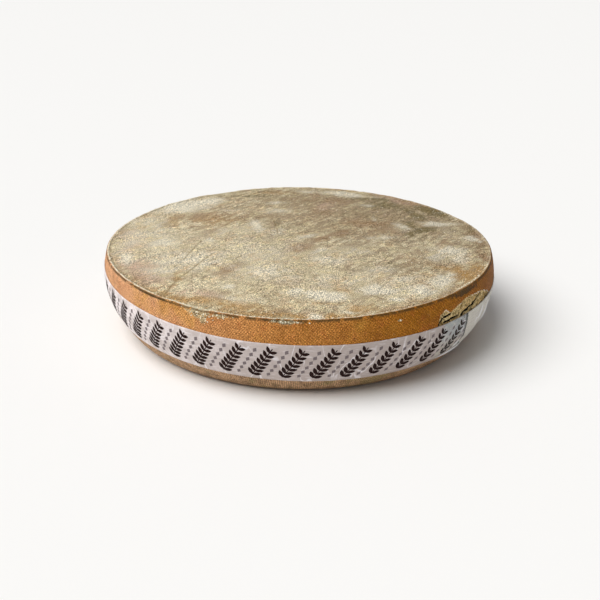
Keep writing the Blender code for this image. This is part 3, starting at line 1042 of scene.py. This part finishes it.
def add_crumb(crumbs, place, outwards, tone):
    """Adds one uneven flattened crumb that lies against a surface."""
    made = bmesh.ops.create_icosphere(crumbs, subdivisions=1, radius=1.0)["verts"]
    half = crumb_chance.uniform(*CRUMB_HALF)
    spin = Matrix.Rotation(crumb_chance.uniform(0.0, math.tau), 4, "Z")
    stretch = Matrix.Diagonal((half, half * crumb_chance.uniform(0.5, 1.0), half * CRUMB_FLATNESS, 1.0))
    facing = outwards.to_track_quat("Z", "Y").to_matrix().to_4x4()
    bmesh.ops.transform(crumbs, verts=made, matrix=Matrix.Translation(place) @ facing @ spin @ stretch)
    for vertex in made:
        vertex[tone_layer] = tone


crumb_chance = random.Random(CRUMB_SEED)
crumbs = bmesh.new()
tone_layer = crumbs.verts.layers.float.new("tone")
upwards = Vector((0.0, 0.0, 1.0))
placed_crumbs = 0
while placed_crumbs < RIM_CRUMBS:
    azimuth = crumb_chance.uniform(-180.0, 180.0)
    radius, height = lip_place(azimuth)
    middle, half_width = CRUMBLIEST
    crowd = CROWD_ANYWHERE + wander(azimuth, radius, height, CRUMB_PATCH_LENGTH) + chip_share(azimuth)
    crowd += CROWD_CRUMBLIEST * bump(turn_between(azimuth, middle), half_width)
    if crumb_chance.random() > crowd:
        continue
    off = crumb_chance.gauss(0.0, RIM_CRUMB_SPREAD)
    drop = abs(off) * (DROP_INSIDE if off < 0.0 else DROP_OUTSIDE)
    outwards = upwards if off < 0.0 else on_wheel(azimuth, 1.0, OUTER_SLOPE)
    place = on_wheel(azimuth, radius + min(off, LIP_CREST_INSET * OUTER_REACH), height - drop)
    add_crumb(crumbs, place, outwards, crumb_chance.random() * LIP_TONES)
    placed_crumbs += 1
for azimuth, height, half_width, half_height in HEEL_SMEARS:
    for number in range(round(half_width * CRUMBS_PER_DEGREE)):
        near_azimuth = crumb_chance.gauss(azimuth, half_width * 0.5)
        near_height = crumb_chance.gauss(height, half_height * 0.4)
        near_height = min(near_height, lip_place(near_azimuth)[1] - RIM_ROUND)
        place = on_wheel(near_azimuth, heel_radius(near_azimuth, near_height), near_height)
        add_crumb(crumbs, place, on_wheel(near_azimuth, 1.0, 0.0), crumb_chance.random())
for number in range(TOP_CRUMBS):
    azimuth = crumb_chance.uniform(-180.0, 180.0)
    share = math.sqrt(crumb_chance.random())
    flat = on_wheel(azimuth, share * lip_foot_radius(azimuth), 0.0)
    flat.z = top_surface(flat, azimuth, share)
    add_crumb(crumbs, flat, upwards, crumb_chance.random() * TOP_TONES)


def make_crumbs():
    """Dry crumbled rind: quite matt, and pale, greyish or brown from crumb to crumb."""
    material, tree = new_material("dry_rind_crumbs")
    tone = add_node(tree, "ShaderNodeAttribute", attribute_name="tone").outputs["Fac"]
    colour = linear(CRUMB_PALE)
    for darker, start, full in CRUMB_TONES:
        share = add_node(tree, "ShaderNodeMapRange", {"Value": tone, 1: start, 2: full}).outputs[0]
        colour = lay_over(tree, colour, linear(darker), share)
    show_surface(tree, {"Base Color": colour, "Roughness": DRY_ROUGHNESS, "Specular IOR Level": 0.15})
    return material


rind_crumbs = finish_piece("rind_crumbs", crumbs, make_crumbs())
rind_crumbs.data.transform(Matrix.Translation(to_middle))


# The label band
# A strip of thin uncoated paper, 62 mm wide, put on wet so that it takes the heel's bulge and dries with
# fine wrinkles. It goes once round the wheel, and its torn printed end laps over its own plain start.

BAND_THICKNESS = 0.0004
GAP = 0.0003
BAND_START = 42.0
BAND_END = 360.0 + 51.4
LAP_RISE_START = 360.0 + 37.0
LAP_RISE_LENGTH = 4.0
PRINT_START = 88.0
PAPER_COLUMN = 0.5
PAPER_ROWS = 24
WRINKLE_RISE = 0.00016
WRINKLE_LENGTH = 0.010
EDGE_WANDER = 0.0004
EDGE_WANDER_LENGTH = 0.050

# The paper's colour darkens towards the joint, a painted shade, between these places on the rolled-out band.
PAPER_SHADE_START = math.radians(360.0 - 60.0) * WIDEST_RADIUS
PAPER_SHADE_END = math.radians(360.0 + 15.0) * WIDEST_RADIUS

# The film starts here, and the paper under it is damp and darker.
FILM_START = 39.8
DAMP_STEP = 0.5

# Where the torn end stops, from the bottom up, as (degrees past the band's end, height).
TORN_END = (
    (0.6, 0.030),
    (1.3, 0.034),
    (-0.9, 0.040),
    (0.9, 0.047),
    (-0.2, 0.062),
    (-0.6, 0.075),
    (-0.9, 0.090),
)
TORN_RAGGED = 0.25
TORN_RAGGED_LENGTH = 0.0025
TORN_REACH = 6.0
TORN_EDGE = 4.5

PAPER_WHITE = "#F0E5E4"
PAPER_GREYER = "#C8BCB8"
PAPER_SHADED = "#B3A49D"
PAPER_LEADER = "#D6D1C5"
PAPER_DAMP = "#A7ABAC"
PAPER_STAINED = "#C0B4A8"
PAPER_CREASE_HIGHLIGHT = "#F3EDF0"
TORN_MOULD_AND_SHADE = "#34352E"

# The paper's patterns: how wide their features are in metres, and their detail. Real fibres are a few
# hundredths of a millimetre thick, and are drawn as tufts of 1.8 mm so that they show.
PAPER_PATTERNS = {
    "blotches": (0.020, 5.0),
    "damp": (0.009, 4.0),
    "mould": (0.006, 5.0),
    "specks": (0.004, 3.0),
    "fibres": (0.0018, 3.0),
}

# What lies over the plain and the damp paper, in the same terms as over the rind.
PAPER_COATS = (
    (PAPER_GREYER, "blotches", 0.4, 0.65, 1.0),
    (PAPER_GREYER, "specks", 0.48, 0.66, 0.7),
    (PAPER_SHADED, "along", PAPER_SHADE_START, PAPER_SHADE_END, 0.9),
)
DAMP_COATS = (
    (PAPER_STAINED, "up", 0.068, 0.045, 1.0),
    (PAPER_LEADER, "damp", 0.48, 0.66, 0.5),
)

# The rind's ribs that show through lie about 17 mm by 2.4 mm, given as how many go into a metre. The dried
# creases are given by how far they are turned, in radians, how they are stretched, and their spacing.
PAPER_RIBS = (60.0, 420.0, 1.0)
CREASE_TURN = 0.25
CREASE_STRETCH = (2.2, 0.9, 1.0)
CREASE_SPACING = 0.070
PAPER_RELIEF = 0.0004


def off_heel(azimuth, height, distance):
    """Radius and height of the point that stands a distance out from the heel, square to its curve."""
    slope = -2.0 * HEEL_BULGE * (height - WIDEST_HEIGHT)
    length = math.hypot(1.0, slope)
    radius = heel_radius(azimuth, height)
    return radius + distance / length, height - distance * slope / length


def paper_distance(azimuth, height):
    """How far the paper's inner side lies off the heel, with its lap at the joint and its wrinkles."""
    lap = min(max((azimuth - LAP_RISE_START) / LAP_RISE_LENGTH, 0.0), 1.0)
    wrinkle = WRINKLE_RISE * wander(azimuth, WIDEST_RADIUS, height, WRINKLE_LENGTH)
    return GAP + lap * (BAND_THICKNESS + GAP) + wrinkle


def band_edges(azimuth):
    """Heights of the band's lower and upper edges, slightly wavy."""
    wave = EDGE_WANDER * wander(azimuth, WIDEST_RADIUS, 0.0, EDGE_WANDER_LENGTH)
    return band_top(azimuth) - BAND_WIDTH + wave, band_top(azimuth) + wave


def torn_end(height):
    """Azimuth where the torn end stops at a height."""
    degrees, heights = zip(*TORN_END)
    ragged = TORN_RAGGED * noise.noise(Vector((0.0, 0.0, height)) / TORN_RAGGED_LENGTH)
    return BAND_END + np.interp(height, heights, degrees) + ragged


def bend_strip(strip, start, end, edges, distance, thickness):
    """Thickens a flat unit grid and bends it round the heel; gives each corner's azimuth and height."""
    corners = [(vertex, vertex.co.copy(), 0.0) for vertex in strip.verts]
    made = bmesh.ops.extrude_face_region(strip, geom=strip.faces[:])["geom"]
    outer = [part for part in made if isinstance(part, bmesh.types.BMVert)]
    corners += [(vertex, vertex.co.copy(), thickness) for vertex in outer]
    placed = []
    for vertex, flat, lift in corners:
        azimuth = start + (end - start) * (flat.x + 0.5)
        low, high = edges(azimuth)
        height = low + (high - low) * (flat.y + 0.5)
        vertex.co = on_wheel(azimuth, *off_heel(azimuth, height, distance(azimuth, height) + lift))
        placed.append((vertex, azimuth, height, lift))
    return placed


def turn_outwards(strip):
    """Points the faces of a thin closed strip outwards."""
    bmesh.ops.recalc_face_normals(strip, faces=strip.faces)
    if strip.calc_volume(signed=True) < 0.0:
        bmesh.ops.reverse_faces(strip, faces=strip.faces)


def roll_out(strip, placed, layer_name):
    """Gives a bent strip a map in metres, with the heel rolled out flat."""
    layer = strip.loops.layers.uv.new(layer_name)
    flat_places = {vertex: flat_on_heel(azimuth, height) for vertex, azimuth, height, lift in placed}
    for face in strip.faces:
        for loop in face.loops:
            loop[layer].uv = flat_places[loop.vert]


paper = bmesh.new()
torn = paper.verts.layers.float.new("torn")
damp = paper.verts.layers.float.new("damp")
plain_start = paper.verts.layers.float.new("plain_start")
columns = round((BAND_END - BAND_START) / PAPER_COLUMN)
bmesh.ops.create_grid(paper, x_segments=columns, y_segments=PAPER_ROWS, size=0.5)
placed = bend_strip(paper, BAND_START, BAND_END, band_edges, paper_distance, BAND_THICKNESS)
for vertex, azimuth, height, lift in placed:
    near_end = min(max(1.0 - (BAND_END - azimuth) / TORN_REACH, 0.0), 1.0)
    if near_end > 0.0:
        azimuth += (torn_end(height) - BAND_END) * near_end
        vertex.co = on_wheel(azimuth, *off_heel(azimuth, height, paper_distance(azimuth, height) + lift))
        vertex[torn] = bump(torn_end(height) - azimuth, TORN_EDGE)
    vertex[damp] = min(max((azimuth - 360.0 - FILM_START) / DAMP_STEP, 0.0), 1.0)
    vertex[plain_start] = 1.0 if azimuth < PRINT_START else 0.0
turn_outwards(paper)
roll_out(paper, placed, "rolled_out")


def make_paper():
    """Thin uncoated paper dried on the rind: dull and faintly fibrous, with creases whitened by painted
    highlight, painted shade towards the joint, and damp in part.
    """
    material, tree = new_material("uncoated_label_paper")
    rolled_out = add_node(tree, "ShaderNodeUVMap", uv_map="rolled_out").outputs["UV"]
    torn_edge, damp_part, start_part = (
        add_node(tree, "ShaderNodeAttribute", attribute_name=name).outputs["Fac"]
        for name in ("torn", "damp", "plain_start")
    )
    axes = add_node(tree, "ShaderNodeSeparateXYZ", {"Vector": rolled_out}).outputs
    pattern = {"along": axes["X"], "up": axes["Y"]}
    for name, (width, detail) in PAPER_PATTERNS.items():
        inputs = {"Vector": rolled_out, "Scale": 1.0 / width, "Detail": detail}
        pattern[name] = add_node(tree, "ShaderNodeTexNoise", inputs).outputs["Fac"]

    colour = lay_coats(tree, pattern, PAPER_WHITE, PAPER_COATS)
    colour = lay_over(tree, colour, linear(PAPER_LEADER), start_part)
    colour = lay_over(tree, colour, lay_coats(tree, pattern, PAPER_DAMP, DAMP_COATS), damp_part)

    # Ribs of the cloth-marked rind that show through, and dark mottling in the damp and torn part.
    inputs = {"Vector": rolled_out, "Scale": PAPER_RIBS}
    ribbed = add_node(tree, "ShaderNodeMapping", inputs).outputs["Vector"]
    inputs = {"Vector": ribbed, "Scale": 1.0, "Detail": 3.0}
    ribs = add_node(tree, "ShaderNodeTexNoise", inputs).outputs["Fac"]
    colour = lay_over(tree, colour, linear(PAPER_GREYER), (ribs, 0.50, 0.72, 0.0, 0.8))
    # Beside the ribs the paper takes the whitish colour of the creases' painted highlight.
    colour = lay_over(tree, colour, linear(PAPER_CREASE_HIGHLIGHT), (ribs, 0.46, 0.28, 0.0, 0.45))
    colour = lay_over(tree, colour, linear(TORN_MOULD_AND_SHADE), torn_edge, (pattern["mould"], 0.46, 0.60, 0.0, 0.9))

    # Creases a millimetre wide, where one slow noise crosses its middle value, whitened as a painted
    # highlight.
    inputs = {"Vector": rolled_out, "Rotation": (0.0, 0.0, CREASE_TURN), "Scale": CREASE_STRETCH}
    upright = add_node(tree, "ShaderNodeMapping", inputs).outputs["Vector"]
    inputs = {"Vector": upright, "Scale": 1.0 / CREASE_SPACING, "Detail": 1.5, "Distortion": 0.5}
    slow = add_node(tree, "ShaderNodeTexNoise", inputs).outputs["Fac"]
    away = add_node(tree, "ShaderNodeMath", {0: slow, 1: 0.5}, operation="SUBTRACT").outputs[0]
    away = add_node(tree, "ShaderNodeMath", {0: away}, operation="ABSOLUTE").outputs[0]
    crease = let_through(tree, (away, 0.016, 0.003), (pattern["blotches"], 0.35, 0.60, 0.15, 0.75))
    colour = lay_over(tree, colour, linear(PAPER_CREASE_HIGHLIGHT), crease)
    # The torn edge itself is darkened with painted shade.
    colour = lay_over(tree, colour, linear(TORN_MOULD_AND_SHADE), (torn_edge, 0.75, 1.0))

    fibres = add_node(tree, "ShaderNodeMix", {0: 0.5, 2: pattern["fibres"], 3: crease}).outputs[0]
    inputs = {"Height": fibres, "Strength": 0.4, "Distance": PAPER_RELIEF}
    relief = add_node(tree, "ShaderNodeBump", inputs).outputs["Normal"]
    show_surface(tree, {"Base Color": colour, "Roughness": 0.58, "Normal": relief, "IOR": 1.5})
    return material


band = finish_piece("paper_band", paper, make_paper())
band.data.transform(Matrix.Translation(to_middle))
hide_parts("label_band")


# The band's print
# A plain ornament in black and grey ink: bold twigs on the slant, and beside each a chain of small lozenges.
# It lies a tenth of a millimetre proud of the paper so that it stays crisp.

INK_LIFT = 0.00012
PRINT_END = 360.0 + 53.4
PRINT_STOP = 0.35
TWIG_PITCH = 7.8
TWIG_SLANT = 33.0
STEM_LENGTH = 0.057
STEM_WIDTH = 0.0014
LEAF_PAIRS = 7
LEAF_LENGTH = 0.0135
LEAF_WIDTH = 0.0062
LEAF_TURN = 48.0
LEAF_FIRST = 0.0010
TWIG_END_SHARE = 0.8
LOZENGES = 6
LOZENGE_LONG = 0.0082
LOZENGE_WIDE = 0.0060
LOZENGE_STEP = 0.0095
LEAF_CORNERS = 10
LEAF_POINT = 0.75
INK_CELL = 0.0025

# Real ink misses specks of some tenths of a millimetre, drawn at 1.4 mm so that they show.
INK_SPECK_WIDTH = 0.0014

INK_BLACK = "#220B07"
INK_GREY = "#7A6F70"


def add_lozenge(print_mesh, place):
    """Adds one lozenge in grey ink, long in the direction of the twigs."""
    made = bmesh.ops.create_circle(print_mesh, cap_ends=True, segments=4, radius=1.0)["verts"]
    stretch = Matrix.Diagonal((LOZENGE_WIDE / 2.0, LOZENGE_LONG / 2.0, 1.0, 1.0))
    turning = Matrix.Rotation(-math.radians(TWIG_SLANT), 4, "Z")
    bmesh.ops.transform(print_mesh, verts=made, matrix=Matrix.Translation(place) @ turning @ stretch)
    for face in {face for vertex in made for face in vertex.link_faces}:
        face.material_index = 1


def add_leaf(print_mesh, foot, turn, size):
    """Adds one pointed leaf that grows from its foot."""
    along = Vector((math.sin(math.radians(turn)), math.cos(math.radians(turn)), 0.0))
    half_length = LEAF_LENGTH * size / 2.0
    made = bmesh.ops.create_circle(print_mesh, cap_ends=True, segments=LEAF_CORNERS, radius=1.0)["verts"]
    for vertex in made:
        vertex.co.x *= LEAF_WIDTH * size / 2.0 * (1.0 - vertex.co.y**4 * LEAF_POINT)
        vertex.co.y *= half_length
    turning = Matrix.Rotation(-math.radians(turn), 4, "Z")
    place = Matrix.Translation(foot + along * half_length)
    bmesh.ops.transform(print_mesh, verts=made, matrix=place @ turning)


ink = bmesh.new()
slant = math.radians(TWIG_SLANT)
up_stem = Vector((math.sin(slant), math.cos(slant), 0.0))
foot = -up_stem * STEM_LENGTH / 2.0
stem = bmesh.ops.create_grid(ink, x_segments=1, y_segments=1, size=0.5)["verts"]
stretch = Matrix.Diagonal((STEM_WIDTH, STEM_LENGTH, 1.0, 1.0))
bmesh.ops.transform(ink, verts=stem, matrix=Matrix.Rotation(-slant, 4, "Z") @ stretch)
leaf_step = (STEM_LENGTH - LEAF_FIRST) / LEAF_PAIRS
for pair in range(LEAF_PAIRS):
    size = 1.0 - (1.0 - TWIG_END_SHARE) * pair / (LEAF_PAIRS - 1)
    for side in (-1.0, 1.0):
        place = foot + up_stem * (LEAF_FIRST + leaf_step * pair)
        add_leaf(ink, place, TWIG_SLANT + side * LEAF_TURN, size)
half_pitch = math.radians(TWIG_PITCH) * WIDEST_RADIUS / 2.0
for number in range(LOZENGES):
    from_middle = LOZENGE_STEP * (number - (LOZENGES - 1) / 2.0)
    add_lozenge(ink, Vector((half_pitch, 0.0, 0.0)) + up_stem * from_middle)

# Cuts on a fine lattice let the flat shapes bend with the paper.
reach = STEM_LENGTH / 2.0 + LEAF_LENGTH
for axis in (Vector((1.0, 0.0, 0.0)), Vector((0.0, 1.0, 0.0))):
    for cut in range(-round(reach / INK_CELL), round(2.0 * reach / INK_CELL)):
        everything = ink.verts[:] + ink.edges[:] + ink.faces[:]
        bmesh.ops.bisect_plane(ink, geom=everything, plane_co=axis * (cut * INK_CELL), plane_no=axis)

twig_count = int((PRINT_END - PRINT_START) / TWIG_PITCH)
template = ink.verts[:] + ink.edges[:] + ink.faces[:]
for number in range(1, twig_count):
    copied = bmesh.ops.duplicate(ink, geom=template)["geom"]
    moved = [part for part in copied if isinstance(part, bmesh.types.BMVert)]
    step = Vector((math.radians(TWIG_PITCH) * WIDEST_RADIUS * number, 0.0, 0.0))
    bmesh.ops.translate(ink, verts=moved, vec=step)

placed = []
for vertex in ink.verts:
    azimuth = PRINT_END - TWIG_PITCH * twig_count + math.degrees(vertex.co.x / WIDEST_RADIUS)
    height = band_top(azimuth) - BAND_WIDTH / 2.0 + vertex.co.y
    distance = paper_distance(azimuth, height) + BAND_THICKNESS + INK_LIFT
    vertex.co = on_wheel(azimuth, *off_heel(azimuth, height, distance))
    placed.append((vertex, azimuth, height, INK_LIFT))
roll_out(ink, placed, "rolled_out")
torn_away = [vertex for vertex, azimuth, height, lift in placed if azimuth > torn_end(height) - PRINT_STOP]
bmesh.ops.delete(ink, geom=torn_away, context="VERTS")


def make_ink(name, colour, worn):
    """Letterpress ink soaked a little into paper: slightly uneven and dull."""
    material, tree = new_material(name)
    rolled_out = add_node(tree, "ShaderNodeUVMap", uv_map="rolled_out").outputs["UV"]
    inputs = {"Vector": rolled_out, "Scale": 1.0 / INK_SPECK_WIDTH, "Detail": 3.0}
    specks = add_node(tree, "ShaderNodeTexNoise", inputs).outputs["Fac"]
    inputs = {"Value": specks, 1: 0.55, 2: 0.75, 3: 0.0, 4: worn}
    thin = add_node(tree, "ShaderNodeMapRange", inputs).outputs[0]
    ink_colour = lay_over(tree, linear(colour), linear(PAPER_GREYER), thin)
    show_surface(tree, {"Base Color": ink_colour, "Roughness": 0.7, "Specular IOR Level": 0.1})
    return material


ornament = finish_piece("band_ornament", ink, make_ink("black_label_ink", INK_BLACK, 0.12))
ornament.data.materials.append(make_ink("grey_label_ink", INK_GREY, 0.6))
ornament.data.transform(Matrix.Translation(to_middle))


# The film over the joint
# Thin clear plastic film stuck over the band's torn end and plain start. It hazes and cools what lies under
# it; its few sharp folds shine, drawn nearly opaque white, partly milky film and partly a painted highlight.

FILM_END = 84.0
FILM_THICKNESS = 0.00015
FILM_DROP_LENGTH = 1.5
FILM_EDGE_INSET = 0.0006
FILM_COLUMN = 0.4
FILM_ROWS = 26
FILM_RIPPLE = 0.00025
FILM_RIPPLE_LENGTH = 0.014
FILM_CLEARANCE = 0.0004

# Each fold: azimuth and height of its two ends, and its half width, all drawn on the heel.
FILM_FOLDS = (
    ((59.6, 0.0850), (58.4, 0.0640), 0.0013),
    ((41.0, 0.0302), (53.0, 0.0334), 0.0012),
    ((49.6, 0.0480), (47.0, 0.0395), 0.0007),
    ((65.0, 0.0800), (63.0, 0.0480), 0.0007),
)
FOLD_RISE = 0.0016
FOLD_CELL = 0.002

# A fold tapers to both ends, but not quite to nothing.
FOLD_BLUNTNESS = 0.08

# The fine ripples of stretched film, 6 mm wide.
RIPPLE_WIDTH = 0.006
RIPPLE_RELIEF = 0.0008

FILM_TINT = "#D3D4CC"
FILM_HAZE = 0.03
FILM_ROUGHNESS = 0.12
# The folds' white is partly the milky folded film and partly a painted highlight.
FOLD_WHITE_HIGHLIGHT = "#FFFFFF"
FOLD_HIGHLIGHT_HAZE = 0.85
FOLD_ROUGHNESS = 0.2


def film_edges(azimuth):
    """Heights of the film's lower and upper edges, just inside the band's."""
    low, high = band_edges(azimuth)
    return low + FILM_EDGE_INSET, high - FILM_EDGE_INSET


def film_distance(azimuth, height):
    """The film lies on the band's upper end, then comes down on the single layer past it."""
    past_end = azimuth - (BAND_END - 360.0)
    share = min(max(past_end / FILM_DROP_LENGTH, 0.0), 1.0)
    layers = BAND_THICKNESS + (1.0 - share) * (BAND_THICKNESS + GAP)
    ripple = FILM_RIPPLE * (1.0 + wander(azimuth, WIDEST_RADIUS, height, FILM_RIPPLE_LENGTH)) / 2.0
    return GAP + WRINKLE_RISE + layers + FILM_CLEARANCE + ripple


film = bmesh.new()
columns = round((FILM_END - FILM_START) / FILM_COLUMN)
bmesh.ops.create_grid(film, x_segments=columns, y_segments=FILM_ROWS, size=0.5)
placed = bend_strip(film, FILM_START, FILM_END, film_edges, film_distance, FILM_THICKNESS)
turn_outwards(film)
roll_out(film, placed, "rolled_out")


def make_film(name, colour, alpha, roughness):
    """Clear plastic film: see-through with a pale haze, and glossy, with highlights broken up by ripples."""
    material, tree = new_material(name)
    rolled_out = add_node(tree, "ShaderNodeUVMap", uv_map="rolled_out").outputs["UV"]
    inputs = {"Vector": rolled_out, "Scale": 1.0 / RIPPLE_WIDTH, "Detail": 2.0}
    ripples = add_node(tree, "ShaderNodeTexNoise", inputs).outputs["Fac"]
    inputs = {"Height": ripples, "Strength": 0.3, "Distance": RIPPLE_RELIEF}
    relief = add_node(tree, "ShaderNodeBump", inputs).outputs["Normal"]
    inputs = {"Base Color": linear(colour), "Alpha": alpha, "Roughness": roughness, "Normal": relief}
    show_surface(tree, {**inputs, "IOR": 1.49})
    return material


clear_plastic = make_film("clear_plastic_film", FILM_TINT, FILM_HAZE, FILM_ROUGHNESS)
clear_film = finish_piece("clear_film", film, clear_plastic)
clear_film.data.transform(Matrix.Translation(to_middle))
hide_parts("joint_film")

folds = bmesh.new()
placed = []
for start, end, half_width in FILM_FOLDS:
    run = flat_on_heel(*end) - flat_on_heel(*start)
    cells = max(round(run.length / FOLD_CELL), 2)
    made = bmesh.ops.create_grid(folds, x_segments=2, y_segments=cells, size=0.5)["verts"]
    for vertex in made:
        across, share = vertex.co.x * 2.0, vertex.co.y + 0.5
        taper = math.sin(math.pi * (FOLD_BLUNTNESS + (1.0 - 2.0 * FOLD_BLUNTNESS) * share))
        square = Vector((run.y, -run.x)).normalized()
        flat = flat_on_heel(*start) + run * share + square * (across * half_width * taper)
        azimuth, height = math.degrees(flat.x / WIDEST_RADIUS), flat.y
        lift = FILM_THICKNESS + GAP / 2.0 + FOLD_RISE * taper * (1.0 - abs(across))
        distance = film_distance(azimuth, height) + lift
        vertex.co = on_wheel(azimuth, *off_heel(azimuth, height, distance))
        placed.append((vertex, azimuth, height, lift))
roll_out(folds, placed, "rolled_out")
fold_highlight_plastic = make_film("folded_film_with_highlight", FOLD_WHITE_HIGHLIGHT, FOLD_HIGHLIGHT_HAZE, FOLD_ROUGHNESS)
film_folds = finish_piece("film_folds", folds, fold_highlight_plastic)
film_folds.data.transform(Matrix.Translation(to_middle))


# The stage
# A plain pale floor under soft light from a large lamp high at the left, and the photograph's camera.

FLOOR_SIZE = 30.0
FLOOR_PALE = "#F2F1EF"
KEY_AZIMUTH = -70.0
KEY_ELEVATION = 55.0
KEY_SPREAD = 50.0
KEY_STRENGTH = 3.2
FILL_STRENGTH = 0.25

# The camera looks from 22 degrees above the floor at a point inside the wheel, almost from the front.
CAMERA_TARGET = Vector((0.0, 0.0, 0.06))
CAMERA_ELEVATION = 22.2
CAMERA_DISTANCE = 1.393
CAMERA_ROLL = 0.81
CAMERA_YAW = -0.08
CAMERA_PITCH = 1.6
LENS_MM = 51.0
SENSOR_MM = 36.0


def make_floor():
    """The floor, far wider than the view."""
    floor_data = bmesh.new()
    bmesh.ops.create_grid(floor_data, x_segments=1, y_segments=1, size=FLOOR_SIZE / 2.0)
    mesh = bpy.data.meshes.new("floor")
    floor_data.to_mesh(mesh)
    floor_data.free()
    material, tree = new_material("pale_floor")
    show_surface(tree, {"Base Color": linear(FLOOR_PALE), "Roughness": 0.9})
    mesh.materials.append(material)
    floor = bpy.data.objects.new("floor", mesh)
    bpy.context.scene.collection.objects.link(floor)


def make_lights():
    """One soft key light and an even white surround."""
    lamp = bpy.data.lights.new("key", "SUN")
    lamp.angle = math.radians(KEY_SPREAD)
    lamp.energy = KEY_STRENGTH
    key = bpy.data.objects.new("key", lamp)
    elevation = math.radians(KEY_ELEVATION)
    towards = on_wheel(KEY_AZIMUTH, math.cos(elevation), math.sin(elevation))
    key.rotation_mode = "QUATERNION"
    key.rotation_quaternion = (-towards).to_track_quat("-Z", "Y")
    bpy.context.scene.collection.objects.link(key)
    world = bpy.data.worlds.new("surround")
    world.use_nodes = True
    background = world.node_tree.nodes["Background"]
    background.inputs["Color"].default_value = (1.0, 1.0, 1.0, 1.0)
    background.inputs["Strength"].default_value = FILL_STRENGTH
    bpy.context.scene.world = world


def make_camera():
    """The camera at the photograph's angle, turned by its small yaw, pitch and roll."""
    elevation = math.radians(CAMERA_ELEVATION)
    back = Vector((0.0, -math.cos(elevation), math.sin(elevation)))
    right = Vector((1.0, 0.0, 0.0))
    up = back.cross(right)
    eye = CAMERA_TARGET + back * CAMERA_DISTANCE
    yaw = math.tan(math.radians(CAMERA_YAW))
    pitch = math.tan(math.radians(CAMERA_PITCH))
    back = (back + right * yaw + up * pitch).normalized()
    right = up.cross(back).normalized()
    up = back.cross(right)
    turn = Matrix((right, up, back)).transposed() @ Matrix.Rotation(math.radians(CAMERA_ROLL), 3, "Z")
    view = bpy.data.cameras.new("view")
    view.lens = LENS_MM
    view.sensor_width = SENSOR_MM
    camera = bpy.data.objects.new("view", view)
    camera.matrix_world = Matrix.Translation(eye) @ turn.to_4x4()
    bpy.context.scene.collection.objects.link(camera)
    bpy.context.scene.camera = camera


make_floor()
make_lights()
make_camera()
bpy.context.scene.view_settings.view_transform = "Standard"
